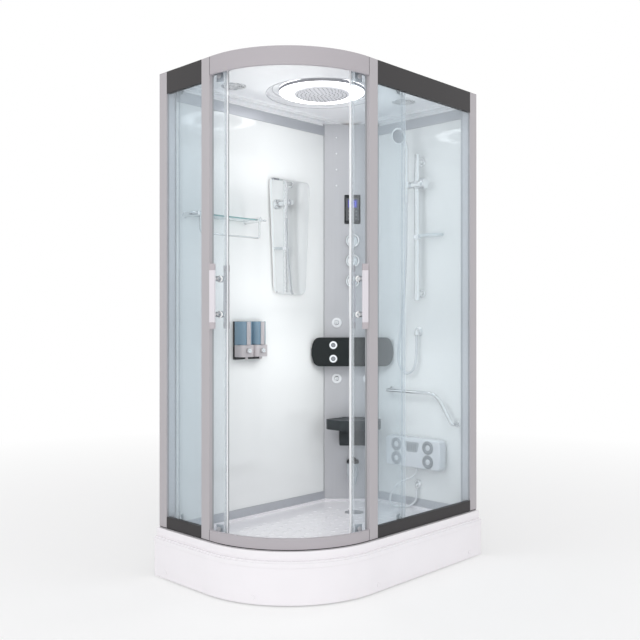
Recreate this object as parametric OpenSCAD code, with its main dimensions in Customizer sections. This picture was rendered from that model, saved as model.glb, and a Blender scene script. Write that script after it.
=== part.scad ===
// Steam shower cabin with a rounded entry corner, two curved doors and a diagonal service column.
// Millimetres, +Z up. The origin is the middle of the footprint, on the floor. The back corner
// is at +X +Y, the long wall runs along X and the short wall along Y.

/* [Plan] */
// Footprint along the long wall
cabin_w = 1200; // [1150:1:1400]
// Footprint along the short wall
cabin_d = 800; // [780:1:1000]
// Radius of the rounded entry corner, at the apron
corner_r = 451; // [440:1:470]
// Depth of the back walls, from the outside to the cabin
wall_t = 40; // [34:1:46]
// How far the frame stands inside the apron
frame_inset = 26; // [22:1:32]
// Leg of the diagonal column along each wall
column_leg = 190; // [180:1:215]

/* [Heights] */
// Floor to the top of the tray rim
rim_z = 199; // [190:1:260]
// Floor to the top of the frame
frame_top = 2076; // [2060:1:2300]
// Height of the apron's outer face
apron_top = 165; // [150:1:175]
// Floor to the standing surface of the tray
basin_z = 165; // [150:1:172]
// Floor to the ledge that the walls stand on
ledge_z = 175; // [173:1:182]

/* [Frame] */
// Width of each post's face
post_w = 50; // [40:1:56]
// Depth of the posts beside the walls
wall_post_t = 40; // [34:1:46]
// Depth of the posts beside the entry
entry_post_t = 21; // [18:1:22]
// Height of the dark headers over the fixed panels
header_h = 90; // [70:1:100]
// Height of the dark sills under the fixed panels
sill_h = 45; // [38:1:60]
// Height of the curved header
curved_header_h = 70; // [62:1:80]
// Height of the curved sill
curved_sill_h = 41; // [34:1:50]
// Distance from the start of the curve to the left entry post
left_post_gap = 18; // [14:1:24]
// Distance from the start of the curve to the right entry post
right_post_gap = 8; // [6:1:14]
// Thickness of the fixed glass
fixed_glass_t = 6; // [5:0.5:6]
// Thickness of the rubber under the frame
gasket_t = 4; // [2:0.5:6]

/* [Doors] */
// Radius of the door glass, at its middle
door_r = 372; // [368:0.5:374]
// Angle that one door covers
door_arc = 51; // [50:0.5:52]
// Thickness of the door glass
door_t = 5; // [4:0.5:5]
// Where the ends of an open door stand, inside the frame's outer face
door_track_in = 58; // [57:0.5:60]
// How far past the start of the curve the open left door stands
door_open_past = 27; // [24:1:30]
// Least gap between an open door and the wall behind it
door_wall_gap = 15.6; // [12:0.1:16]
// Turn that the right door lacks of the left door's travel, stopped by its post
right_short = 0.9; // [0.6:0.1:1.2]
// Length of the door handle
handle_l = 250; // [200:1:400]
// Width of the handle bar
handle_w = 24; // [16:1:26]
// Distance from the glass to the middle of the outer bar
handle_off = 62; // [58:1:64]
// Distance from the glass to the middle of the inner bar
inner_handle_off = 46; // [40:1:60]
// Distance between the two posts of a handle
handle_pitch = 138; // [100:1:160]
// Floor to the middle of the handle
handle_z = 1147; // [1000:1:1250]
// Radius of the door rollers
roller_r = 12.2; // [11.4:0.1:13]
// Width of the door rollers
roller_w = 7; // [5:0.5:8]

/* [Column] */
// Pitch of the three control knobs
knob_pitch = 99.5; // [90:0.5:110]
// Floor to the top knob
knob_top_z = 1446; // [1400:1:1450]
// Radius of the knobs
knob_r = 34.5; // [26:0.5:38]
// Radius of a body jet's cover
jet_r = 25; // [22:0.5:30]
// Sideways distance of the body jets from the column's middle line
jet_t = 77.5; // [60:0.5:84]
// Floor to the upper body jets
jet_high_z = 1042; // [1020:1:1100]
// Floor to the lower body jets
jet_low_z = 767; // [764:1:790]
// Width of the backrest
rest_w = 400; // [380:1:406]
// Height of the backrest
rest_h = 141; // [130:1:150]
// Floor to the top of the seat
seat_top = 580; // [560:1:584]
// Width of the seat
seat_w = 264; // [240:1:300]
// How far the seat reaches out of the column
seat_reach = 190; // [170:1:190]
// Thickness of the seat
seat_t = 49; // [40:1:51]

/* [Fittings] */
// Width of the glass shelf
shelf_w = 325; // [260:1:360]
// Depth of the glass shelf
shelf_d = 90; // [70:1:92]
// Height of the mirror
mirror_h = 538; // [400:1:560]
// Width of the mirror at its top
mirror_w = 260; // [220:1:270]
// Width of the soap dispenser
soap_w = 164; // [150:1:190]
// Travel of a soap button
soap_travel = 8; // [4:0.5:8]
// Radius of the shower rail
rail_r = 13; // [10:0.5:13.5]
// Length of the shower rail
rail_l = 686; // [650:1:700]
// Radius of the grab rail's tube
grab_r = 8; // [7:0.5:12]
// Width of the foot massage unit
foot_w = 322; // [300:1:330]
// Height of the foot massage unit
foot_h = 142; // [134:1:145]
// Radius of the rain head
rain_r = 120; // [100:1:124]
// Outer radius of the ceiling lamp
lamp_r = 184; // [160:1:200]

/* [Hidden] */
$fn = 64;
bend_fn = 32;

// Outline of the footprint and the planes that everything is set from
bx = cabin_w / 2;
by = cabin_d / 2;
qx = -bx + corner_r;
qy = -by + corner_r;
wall_x = bx - wall_t;
wall_y = by - wall_t;
frame_x = -bx + frame_inset;
frame_y = -by + frame_inset;
frame_r = corner_r - frame_inset;
frame_lip = 4;
col_x = bx - wall_t - (column_leg + frame_lip) / 2;
col_y = by - wall_t - (column_leg + frame_lip) / 2;
col_half = column_leg / sqrt(2);
frame_z = rim_z + gasket_t;

// Posts: entry edges, and where the wall posts begin
left_post_y = qy + left_post_gap;
right_post_x = qx + right_post_gap;
wall_post_y = by - post_w;
wall_post_x = bx - post_w;

// Straight rail section: outer plate, glass slot, inner lip and roller rail, as insets of the apron
plate_t = 4;
slot_in = frame_inset + plate_t;
slot_w = 8;
lip_in = slot_in + slot_w;
lip_out = lip_in + plate_t;
rail_edge = corner_r - 390.5;
post_head_t = 8;
track_edge = 101;
roof_edge = 100;
web_t = 6;
glass_foot = 10;
glass_cap = 18;
curved_plate = 12;

// Roller rail and guide ledge heights
roller_rail_z = frame_top - 42;
roller_rail_t = 4;
guide_z = frame_z + 9;
guide_gap = 0.5;

// Doors, drawn closed about the corner's centre, then swung open about their pivot
meet_a = 225;
fold = 45 - door_arc / 2;
open_x = frame_x + door_track_in + door_r * cos(door_arc / 2);
door_reach = door_r * sin(door_arc / 2);
open_y = min(qy - door_open_past, wall_y - door_wall_gap - 2 * door_reach) + door_reach;
move_x = qx - open_x;
move_y = qy - open_y;
swing_k = 1 / (2 * tan(fold / 2));
pivot_x = (open_x + qx) / 2 - move_y * swing_k;
pivot_y = (open_y + qy) / 2 + move_x * swing_k;
door_z0 = guide_z + 10;
door_z1 = roller_rail_z - roller_rail_t - 4;
seal_half = 6;
seal_a = 2.5;
seal_gap_a = 0.06;
seal_cover_a = 1.8;
slot_clear = 0.3;
fin_l = 12;
fin_a = 0.5;
handle_a = 5.3;
bar_t = 12;
grip_end = 25;
post_r = 10;
pin_r = 5;
pin_clear = 0.3;
hanger_a = 6.1;
hanger_t = 5;
hanger_w = 30;
hanger_gap = 0.3;
axle_r = 3;
fit_clear = 0.05;
roller_off = 20;
roller_seat = 0.3;
axle_z = roller_rail_z + roller_r + roller_seat;
washer_r = 5;
button_r = 9;
button_t = 4;

// Walls
panel_t = 5;
panel_grip = 7;
band_top = 45;
band_low = 37;
stile_w = 14;
wall_top = frame_top - 65;
panel_clear = 0.3;

// Column: local x runs along its face towards the short wall, local -y into the cabin
skin = 3;
fit_t = 6;
column_top = wall_top + 9;
hole_clear = 1;
dot_pitch = 79;
dot_r = 4;
dot_z = column_top - 64;
panel_w = 79;
panel_h = 143;
panel_z = 1530;
spindle_r = 6;
valve_r = 22;
valve_l = 58;
riser_r = 10;
riser_y = 45;
ball_r = 14;
ball_clear = 0.3;
ball_y = 2;
jet_plate = 7;
small_jet_r = 19;
small_jet_t = 97;
small_jet_z = 33;
rest_z = 901;
rest_shift = -4;
rest_t = 30;
rest_back = 46;
rest_corner = 38;
rest_taper = 26;
seat_pin_r = 6;
seat_pin_y = -24;
seat_pin_z = seat_top - 20.5;
seat_rear = -16;
seat_neck = 55;
ear_t = 9;
ear_gap = 2;
block_half = seat_neck + ear_gap + ear_t;
block_z = 446;
block_reach = 69;
rest_pad = 2.7;
steam_z = 362;
cup_r = 29;

// Ceiling, with the lamp, rain head, fan and speaker in it
ceiling_z = frame_top - 46;
ceiling_t = 4;
wall_lip = 8;
lamp_x = -10;
lamp_y = 8;
recess_r = lamp_r + 57;
recess_z = ceiling_z + 18;
lamp_hole = rain_r + 8;
fan_x = 334;
fan_y = -166;
speaker_x = -353;
speaker_y = 188;
ring_r = 52;
duct_r = 49;
duct_z = frame_top + 44;
pipe_r = 8;
pipe_in = 18;
weld = 2.5;
pipe_z = frame_top + 14;
stem_r = 12;

// Wall fittings, measured from the back corner's inner planes
mirror_x = wall_x - 434;
mirror_corner = 24;
mirror_z = 1176;
shelf_x = wall_x - 869.5;
shelf_z = 1494;
shelf_t = 6;
shelf_clip_r = 11;
wire_r = 4;
towel_z = 1416;
soap_x = wall_x - 692;
soap_z = 880;
soap_h = 170;
soap_bore = 11.4;
soap_depth = 58;
rail_y = wall_y - 460;
rail_x = wall_x - 40;
rail_z = wall_top - 179 - rail_l;
slider_z = rail_z + rail_l - 145;
slider_r = 15;
hand_y = rail_y + 39;
hand_x = rail_x - 32;
hand_r = 11;
socket_r = 17;
sleeve_r = 9.5;
hose_r = 6;
hose_bore = 6.5;
elbow_y = wall_y - 443;
elbow_z = 1003;
elbow_x = wall_x - 22;
outlet_y = wall_y - 438;
outlet_z = 282;
outlet_x = wall_x - 13;
foot_hose_r = 5;
foot_x = wall_x - 60;
foot_y = wall_y - 439.5;
foot_z = 362;
foot_t = 56;
hook_pitch = 170;
grab_x = wall_x - 44;
grab_z = 718;

// Base
skirt_t = 6;
rim_in = 14;
basin_in = 105;
drain_x = 275;
drain_y = 75;
drain_r = 44;
drain_bore = 31;
tube_w = 30;
tube_top = basin_z - skirt_t;
tube_z = tube_top - tube_w;
foot_pad_r = 26;
stem_leg_r = 6;

// Routes of the two hoses, chosen by hand
hose_low = 984.6;
hose_rise = slider_z - 37.5 - hose_low;
function drop(k) = hose_low + hose_rise * k;
SHOWER_ROUTE = [[488, -61, drop(1)], [488, -61, drop(0.91)], [489, -60, drop(0.775)],
    [495, -53, drop(0.58)], [502, -42, drop(0.384)], [507, -29, drop(0.219)],
    [510, -14, drop(0.083)], [511, -2, 960], [512, 6, 900], [514, 4, 855], [518, -10, 820],
    [524, -34, 804], [530, -58, 811], [535, -75, 840], [537, -82, 880], [538, -83, 930],
    [538, -83, hose_low]];
FOOT_ROUTE = [[530, -90, foot_z - 0.4], [530, -90, foot_z - 9], [530, -90, foot_z - 18],
    [522, -74, 320], [508, -44, 303],
    [495, -12, 284], [486, 12, 258], [481, 26, 226], [481, 31, 198], [486, 26, 178],
    [500, 8, 171], [517, -18, 171], [532, -42, 174], [542, -60, 188], [546, -74, 208],
    [547, -78, 236], [547, -78, 263.6]];

// Footprint outline, set in by i on the rounded side and full at the two walls
module plan(i) {
    translate([-bx + i, qy]) square([cabin_w - i, by - qy]);
    translate([qx, -by + i]) square([bx - qx, cabin_d - i]);
    intersection() {
        translate([qx, qy]) circle(corner_r - i, $fn = 180);
        translate([-bx, -by]) square(corner_r);
    }
}

// Wall-free ring between two insets, from height z0 to z1
module band(i0, i1, z0, z1) {
    translate([0, 0, z0]) linear_extrude(z1 - z0) difference() {
        plan(i0);
        plan(i1);
    }
}

// Box from one corner to the opposite one
module slab(a, b) {
    translate(a) cube(b - a);
}

// Round bar between two points
module rod(p, q, r) {
    v = q - p;
    translate(p) rotate([0, acos(v[2] / norm(v)), atan2(v[1], v[0])]) cylinder(r = r, h = norm(v));
}

// Rectangle with rounded corners, centred
module round_rect(w, d, r) {
    square([w - 2 * r, d], center = true);
    square([w, d - 2 * r], center = true);
    for (sx = [-1, 1], sy = [-1, 1])
        translate([sx * (w / 2 - r), sy * (d / 2 - r)]) circle(r);
}

// Disc on the column's or a wall's face, standing out by h from depth y
module boss(r, y, h) {
    translate([0, y, 0]) rotate([90, 0, 0]) cylinder(r = r, h = h);
}

// Things on the column, t along its face and z above the floor
module on_column(t, z) {
    translate([col_x, col_y, 0]) rotate([0, 0, -45]) translate([t, 0, z]) children();
}

// Things on the short wall, local x towards the entry and local -y into the cabin
module on_short_wall(y, z) {
    translate([wall_x, y, z]) rotate([0, 0, -90]) children();
}

// Zone of the entry, from the inner edges of its posts
over_top = frame_top + 100;
module entry_zone(extra) {
    slab([-bx, -by, 0], [right_post_x + extra, left_post_y + extra, over_top]);
}

// Zone beside the entry on the left, and on the front
module left_zone() {
    slab([-bx, left_post_y + post_w, 0], [qx, wall_post_y, over_top]);
}
module front_zone() {
    slab([right_post_x + post_w, -by, 0], [wall_post_x, qy, over_top]);
}
module straight_zones() {
    left_zone();
    front_zone();
}

// Outline of the entry posts, thinner above the roller rail, for the pieces that pass behind them
post_step_z = roller_rail_z - roller_rail_t;
module entry_post_boxes() {
    slab([frame_x, left_post_y, frame_z], [frame_x + entry_post_t, left_post_y + post_w, post_step_z]);
    slab([right_post_x, frame_y, frame_z], [right_post_x + post_w, frame_y + entry_post_t, post_step_z]);
    post_heads();
}
module post_heads() {
    slab([frame_x, left_post_y, post_step_z - 3],
        [frame_x + post_head_t, left_post_y + post_w, frame_top]);
    slab([right_post_x, frame_y, post_step_z - 3],
        [right_post_x + post_w, frame_y + post_head_t, frame_top]);
}

// Standing area inside the tray, and the ledge that carries the walls and the column
module basin_area() {
    difference() {
        intersection() {
            plan(basin_in);
            translate([-bx, -by]) square([cabin_w - wall_t - 10, cabin_d - wall_t - 10]);
        }
        polygon([[col_x - column_leg, col_y + column_leg - 12], [col_x + column_leg, col_y + column_leg],
            [col_x + column_leg - 12, col_y - column_leg]]);
    }
}
module wall_ledges(z0, z1) {
    slab([frame_x + wall_post_t, wall_post_y, z0], [bx, by, z1]);
    slab([wall_post_x, frame_y + wall_post_t, z0], [bx, by, z1]);
}

module tray() {
    color("white") difference() {
        union() {
            translate([0, 0, basin_z - skirt_t]) linear_extrude(skirt_t) plan(rim_in + skirt_t);
            translate([0, 0, basin_z]) linear_extrude(ledge_z - basin_z) difference() {
                plan(basin_in - skirt_t);
                basin_area();
            }
            band(rim_in, basin_in, rim_z - skirt_t, rim_z);
            band(rim_in, rim_in + skirt_t + 2, apron_top, rim_z);
            band(basin_in - skirt_t, basin_in, basin_z, rim_z);
        }
        wall_ledges(ledge_z, rim_z + 1);
        translate([drain_x, drain_y, 0]) cylinder(r = drain_bore, h = basin_z + 1);
    }
}

// Curved front panel with its screw caps
cap_r = 8;
cap_t = 2;
cap_z = 30;
cap_a = 27.25;
module apron_cap(x, y, z, turn) {
    translate([x, y, z]) rotate([0, 0, turn]) rotate([0, 90, 0]) cylinder(r = cap_r, h = cap_t);
}
module tray_apron() {
    color("white") {
        band(cap_t, cap_t + 5, 4, apron_top);
        band(0, 5, apron_top - 24, apron_top - 6);
        band(cap_t, rim_in + skirt_t, apron_top - 4, apron_top);
        apron_cap(-bx, by - 75, cap_z, 0);
        apron_cap(qx - corner_r * cos(cap_a), qy - corner_r * sin(cap_a), cap_z, cap_a);
        apron_cap(qx + 34, -by, cap_z, 90);
        apron_cap(bx - 92, -by, cap_z, 90);
    }
}

// Tray frame of square tube, with a nut under each leg position
module legs() {
    for (p = [[-bx + 70, by - 70], [0, by - 100], [bx - 40, by - 70], [bx - 40, -by + 100],
            [60, -by + 100], [-bx + 120, -40]])
        translate([p[0], p[1], 0]) children();
}
module tray_frame() {
    color("gray") difference() {
        union() {
            for (y = [by - 100, -by + 100])
                slab([y > 0 ? -bx + 35 : qx, y - tube_w / 2, tube_z], [bx - 10, y + tube_w / 2, tube_top]);
            for (x = [-bx + 120, 0, bx - 40])
                slab([x - tube_w / 2, x < -100 ? -70 : -by + 100, tube_z], [x + tube_w / 2, by - 100, tube_top]);
            slab([-bx + 35, by - 115, tube_z], [-bx + 105, by - 40, tube_top]);
            slab([bx - 55, by - 115, tube_z], [bx - 25, by - 40, tube_top]);
            legs() translate([0, 0, tube_z - 12]) cylinder(r = 13, h = 12);
        }
        legs() translate([0, 0, tube_z - 13]) cylinder(r = stem_leg_r + fit_clear, h = 28);
    }
}
module levelling_feet() {
    color("dimgray") legs() {
        cylinder(r = foot_pad_r, h = 12);
        cylinder(r = stem_leg_r, h = tube_z + 8);
    }
}

// Waste trap under the tray, with a spigot for the drain pipe
trap_r = 46;
spigot_r = 20;
spigot_z = 92;
spigot_y = drain_y + 60;
spigot_l = 62;
module waste_trap() {
    color("gainsboro") difference() {
        union() {
            translate([drain_x, drain_y, 60]) cylinder(r = trap_r, h = tube_top - 60);
            translate([drain_x, drain_y, tube_top - 1]) cylinder(r = drain_bore - 0.5, h = skirt_t + 1);
            rod([drain_x, drain_y + trap_r - 8, spigot_z], [drain_x, spigot_y, spigot_z], spigot_r + 4);
            rod([drain_x, drain_y + trap_r - 4, spigot_z], [drain_x, spigot_y + spigot_l, spigot_z], spigot_r);
        }
        translate([drain_x, drain_y, 64]) cylinder(r = trap_r - 4, h = tube_top - 76);
        translate([drain_x, drain_y, 64]) cylinder(r = drain_bore - 4, h = basin_z);
        rod([drain_x, drain_y + 20, spigot_z], [drain_x, spigot_y + spigot_l + 1, spigot_z], spigot_r - 3);
    }
}
module drain_cover() {
    color("white") translate([drain_x, drain_y, basin_z]) {
        translate([0, 0, 0.3]) cylinder(r = drain_r, h = 4);
        difference() {
            translate([0, 0, -12]) cylinder(r = drain_bore - 5, h = 13);
            translate([0, 0, -13]) cylinder(r = drain_bore - 7, h = 13);
        }
    }
}

// Grey posts: two at the walls, two beside the entry
module hollow_post(a, b, t) {
    difference() {
        slab(a, b);
        slab([a[0] + t, a[1] + t, a[2] - 1], [b[0] - t, b[1] - t, b[2] - t]);
    }
}
module frame_posts() {
    color("silver") {
        hollow_post([frame_x, wall_post_y, frame_z], [frame_x + wall_post_t, by, frame_top], 2);
        hollow_post([wall_post_x, frame_y, frame_z], [bx, frame_y + wall_post_t, frame_top], 2);
        hollow_post([frame_x, left_post_y, frame_z],
            [frame_x + entry_post_t, left_post_y + post_w, post_step_z], 2);
        hollow_post([right_post_x, frame_y, frame_z],
            [right_post_x + post_w, frame_y + entry_post_t, post_step_z], 2);
        post_heads();
    }
}

// Dark headers and sills that hold the fixed glass, with the roller rail and the guide ledge
module panel_rails() {
    color([0.3, 0.3, 0.3]) intersection() {
        straight_zones();
        union() {
            band(frame_inset, slot_in, frame_z, frame_z + sill_h);
            band(slot_in, lip_in, frame_z, frame_z + glass_foot);
            band(lip_in, lip_out, frame_z, frame_z + sill_h);
            band(lip_out, track_edge, frame_z, guide_z);
            band(frame_inset, slot_in, frame_top - header_h, frame_top);
            band(lip_in, lip_out, frame_top - header_h, roller_rail_z);
            band(slot_in, lip_in, roller_rail_z - glass_cap, roller_rail_z);
            band(slot_in, roof_edge, frame_top - web_t, frame_top);
            band(lip_out, rail_edge, roller_rail_z - roller_rail_t, roller_rail_z);
        }
    }
}
module curved_header() {
    color("silver") difference() {
        union() {
            intersection() {
                entry_zone(0);
                band(frame_inset, frame_inset + curved_plate, frame_top - curved_header_h, frame_top);
            }
            intersection() {
                entry_zone(post_w);
                union() {
                    band(frame_inset + post_head_t, roof_edge, frame_top - web_t, frame_top);
                    band(frame_inset + post_head_t, rail_edge, roller_rail_z - roller_rail_t,
                        roller_rail_z);
                }
            }
        }
        entry_post_boxes();
    }
}
module curved_sill() {
    color("silver") difference() {
        union() {
            intersection() {
                entry_zone(0);
                band(frame_inset, frame_inset + curved_plate, frame_z, frame_z + curved_sill_h);
            }
            intersection() {
                entry_zone(post_w);
                band(frame_inset + curved_plate, track_edge, frame_z, guide_z);
            }
        }
        entry_post_boxes();
    }
}
module frame_gasket() {
    color([0.15, 0.15, 0.15]) difference() {
        band(frame_inset + 3, roof_edge, rim_z, frame_z);
        wall_ledges(rim_z - 1, frame_z + 1);
    }
}
module fixed_glass() {
    color("lightblue", 0.4) intersection() {
        union() {
            slab([-bx, left_post_y + post_w + 0.5, 0], [qx, wall_post_y - 0.5, frame_top]);
            slab([right_post_x + post_w + 0.5, -by, 0], [wall_post_x - 0.5, qy, frame_top]);
        }
        band(slot_in + (slot_w - fixed_glass_t) / 2, lip_in - (slot_w - fixed_glass_t) / 2,
            frame_z + glass_foot, roller_rail_z - glass_cap);
    }
}

// Arc of a closed door between two angles, radii and heights
module door_ring(r0, r1, a0, a1, z0, z1) {
    translate([qx, qy, z0]) rotate([0, 0, a0]) rotate_extrude(angle = a1 - a0, $fn = 180)
        translate([r0, 0]) square([r1 - r0, z1 - z0]);
}
// Place on a closed door at angle a and height z, local x outwards
module on_door(a, z) {
    translate([qx, qy, z]) rotate([0, 0, a]) children();
}
module radial(r, r0, r1) {
    translate([r0, 0, 0]) rotate([0, 90, 0]) cylinder(r = r, h = r1 - r0);
}
// Swing of the left door from closed to open, and the same mirrored for the right door
module left_door() {
    translate([pivot_x, pivot_y, 0]) rotate([0, 0, -fold]) translate([-pivot_x, -pivot_y, 0]) children();
}
module right_door() {
    translate([qx, qy, 0]) mirror([1, -1, 0]) translate([-qx, -qy, 0])
        translate([pivot_x, pivot_y, 0]) rotate([0, 0, -fold + right_short])
        translate([-pivot_x, -pivot_y, 0]) children();
}

door_in = door_r - door_t / 2;
door_out = door_r + door_t / 2;
front_a = meet_a;
rear_a = meet_a - door_arc;
hang_angles = [front_a - hanger_a, rear_a + hanger_a];
module door_glass() {
    color("lightcyan", 0.4) difference() {
        door_ring(door_in, door_out, rear_a + fin_a, front_a - seal_a + seal_cover_a, door_z0, door_z1);
        for (s = [-1, 1]) on_door(front_a - handle_a, handle_z + s * handle_pitch / 2)
            radial(pin_r + pin_clear, door_in - 5, door_out + 5);
        for (a = hang_angles, z = [door_z0 + 20, door_z1 - 20])
            on_door(a, z) radial(4 + pin_clear, door_in - 5, door_out + 5);
    }
}
module door_seals() {
    color("whitesmoke") {
        difference() {
            door_ring(door_r - seal_half, door_r + seal_half, front_a - seal_a, front_a - seal_gap_a,
                door_z0, door_z1);
            door_ring(door_in - slot_clear, door_out + slot_clear, front_a - seal_a - 1,
                front_a - seal_a + seal_cover_a + 0.05, door_z0 - 1, door_z1 + 1);
        }
        door_ring(door_in, door_out + fin_l, rear_a, rear_a + fin_a - 0.03, door_z0, door_z1);
    }
}
module handle_bar(r) {
    half = handle_l / 2 - grip_end;
    for (z = [[-handle_l / 2, -half], [-half, half], [half, handle_l / 2]])
        translate([r, 0, z[0]]) linear_extrude(z[1] - z[0]) round_rect(bar_t, handle_w, 2);
}
module door_handle() {
    color("gainsboro") {
        on_door(front_a - handle_a, handle_z) {
            handle_bar(door_r + handle_off);
            handle_bar(door_r - inner_handle_off);
        }
        for (s = [-1, 1]) on_door(front_a - handle_a, handle_z + s * handle_pitch / 2) {
            radial(post_r, door_out + pin_clear, door_r + handle_off - bar_t / 2);
            radial(pin_r, door_in - 1, door_out + 1);
            radial(post_r, door_r - inner_handle_off + bar_t / 2, door_in - pin_clear);
        }
    }
}
module glass_clamp(plate_out) {
    radial(4, plate_out - 1, door_out + hanger_gap + 1);
    radial(button_r, door_out + hanger_gap, door_out + hanger_gap + button_t);
}
module door_hangers() {
    plate_out = door_in - 2 * hanger_gap;
    plate_in = plate_out - hanger_t;
    color("darkgray") for (a = hang_angles) {
        on_door(a, 0) {
            slab([plate_in, -hanger_w / 2, door_z1 - 40], [plate_out, hanger_w / 2, axle_z + 10]);
            slab([plate_in, -hanger_w / 2, guide_z + guide_gap], [plate_out, hanger_w / 2, door_z0 + 36]);
            slab([plate_in, -hanger_w / 2, guide_z + guide_gap],
                [door_out + 6, hanger_w / 2, door_z0 - 1.5]);
        }
        on_door(a, door_z1 - 20) glass_clamp(plate_out);
        on_door(a, door_z0 + 20) glass_clamp(plate_out);
        on_door(a, axle_z) {
            radial(washer_r, plate_out - 1, door_r + roller_off - roller_w / 2 - 0.2);
            radial(axle_r, plate_out, door_r + roller_off + roller_w / 2 + 1);
            radial(washer_r, door_r + roller_off + roller_w / 2 + 0.2, door_r + roller_off + roller_w / 2 + 2);
        }
    }
}
module roller(a) {
    color("ivory") on_door(a, axle_z) difference() {
        radial(roller_r, door_r + roller_off - roller_w / 2, door_r + roller_off + roller_w / 2);
        radial(axle_r + fit_clear, door_r, door_r + roller_off + 20);
    }
}
module left_door_glass() { left_door() door_glass(); }
module right_door_glass() { right_door() door_glass(); }
module left_door_seals() { left_door() door_seals(); }
module right_door_seals() { right_door() door_seals(); }
module left_door_handle() { left_door() door_handle(); }
module right_door_handle() { right_door() door_handle(); }
module left_door_hangers() { left_door() door_hangers(); }
module right_door_hangers() { right_door() door_hangers(); }
module left_front_roller() { left_door() roller(hang_angles[0]); }
module left_rear_roller() { left_door() roller(hang_angles[1]); }
module right_front_roller() { right_door() roller(hang_angles[0]); }
module right_rear_roller() { right_door() roller(hang_angles[1]); }

// Back-painted glass walls in their grey frames
col_a_x = wall_x - column_leg;
col_b_y = wall_y - column_leg;
wall_face_y = wall_y - frame_lip;
wall_face_x = wall_x - frame_lip;
long_x0 = frame_x + wall_post_t;
short_y0 = frame_y + wall_post_t;
module panel_blocks(grow) {
    slab([long_x0 + stile_w - panel_grip - grow, wall_y - grow, ledge_z + band_low - panel_grip - grow],
        [col_a_x - 2 + grow, wall_y + panel_t + grow, wall_top - band_top + panel_grip + grow]);
    slab([wall_x - grow, short_y0 + stile_w - panel_grip - grow, ledge_z + band_low - panel_grip - grow],
        [wall_x + panel_t + grow, col_b_y - 2 + grow, wall_top - band_top + panel_grip + grow]);
}
module wall_panels() {
    color("whitesmoke") difference() {
        panel_blocks(0);
        on_short_wall(elbow_y, elbow_z) boss(pipe_r + hole_clear, 10, 20);
        on_short_wall(outlet_y, outlet_z) boss(pipe_r + hole_clear, 10, 20);
    }
}
module wall_frames() {
    color("darkgray") difference() {
        union() {
            for (z = [[ledge_z, ledge_z + band_low], [wall_top - band_top, wall_top]]) {
                slab([long_x0, wall_face_y, z[0]], [col_a_x, by, z[1]]);
                slab([wall_face_x, short_y0, z[0]], [bx, col_b_y, z[1]]);
            }
            slab([long_x0, wall_face_y, ledge_z], [long_x0 + stile_w, by, wall_top]);
            slab([wall_face_x, short_y0, ledge_z], [bx, short_y0 + stile_w, wall_top]);
            slab([col_a_x - 14, wall_y + panel_t + panel_clear, ledge_z], [col_a_x, by, wall_top]);
            slab([wall_x + panel_t + panel_clear, col_b_y - 14, ledge_z], [bx, col_b_y, wall_top]);
        }
        panel_blocks(panel_clear);
        for (z = [elbow_z, outlet_z]) rod([bx - pipe_in, col_b_y - 30, z], [bx - pipe_in, col_b_y + 10, z],
            pipe_r + hole_clear);
    }
}

// Diagonal column, open at the back, with holes for what passes through its face
module column_outline(in) {
    polygon([[col_a_x + in, by + in], [col_a_x + in, wall_face_y + in * 0.42],
        [wall_face_x + in * 0.42, col_b_y + in], [bx + in, col_b_y + in], [bx + in, by + in]]);
}
knob_zs = [knob_top_z, knob_top_z - knob_pitch, knob_top_z - 2 * knob_pitch];
jet_spots = [[-jet_t, jet_high_z], [jet_t, jet_high_z], [-jet_t, jet_low_z], [jet_t, jet_low_z]];
module column() {
    color("darkgray") difference() {
        translate([0, 0, ledge_z]) linear_extrude(column_top - ledge_z) difference() {
            column_outline(0);
            column_outline(skin);
        }
        for (z = knob_zs) on_column(fit_t, z) boss(spindle_r + 2, 20, 40);
        for (p = jet_spots) on_column(fit_t + p[0], p[1]) boss(jet_r - 5 + hole_clear, 20, 40);
        for (t = [-1, 0, 1], k = [0 : 3]) on_column(fit_t + t * dot_pitch, dot_z - k * dot_pitch)
            boss(dot_r - 1, 20, 40);
        on_column(fit_t, steam_z) boss(8, 20, 40);
        on_column(fit_t, panel_z + panel_h / 2)
            slab([-panel_w / 2 + 5, -20, -panel_h / 2 + 5], [panel_w / 2 - 5, 20, panel_h / 2 - 5]);
        on_short_wall(col_b_y, 0) for (z = [elbow_z, outlet_z])
            translate([-10, wall_t - pipe_in, z]) rotate([0, 90, 0]) cylinder(r = pipe_r + hole_clear, h = 30);
    }
}

// Black control panel with its box behind the face
module control_panel() {
    color("black") on_column(fit_t, panel_z + panel_h / 2) {
        rotate([90, 0, 0]) linear_extrude(5) round_rect(panel_w, panel_h, 4);
        slab([-panel_w / 2 + 6, -0.5, -panel_h / 2 + 6], [panel_w / 2 - 6, 26, panel_h / 2 - 6]);
    }
}

// Ring knob on its spindle
module knob(z) {
    color("lightgray") on_column(fit_t, z) difference() {
        union() {
            difference() {
                boss(knob_r, -5, 22);
                boss(knob_r - 9, -9, 30);
            }
            boss(knob_r - 4, -5, 5);
            boss(17, -5, 18);
            boss(spindle_r, 34, 40);
        }
        for (a = [0 : 60 : 300]) rotate([0, a, 0]) translate([knob_r + 3, 0, 0]) boss(5, -10, 30);
    }
}
module mixer_knob() { knob(knob_zs[0]); }
module diverter_knob() { knob(knob_zs[1]); }
module jets_knob() { knob(knob_zs[2]); }

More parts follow.
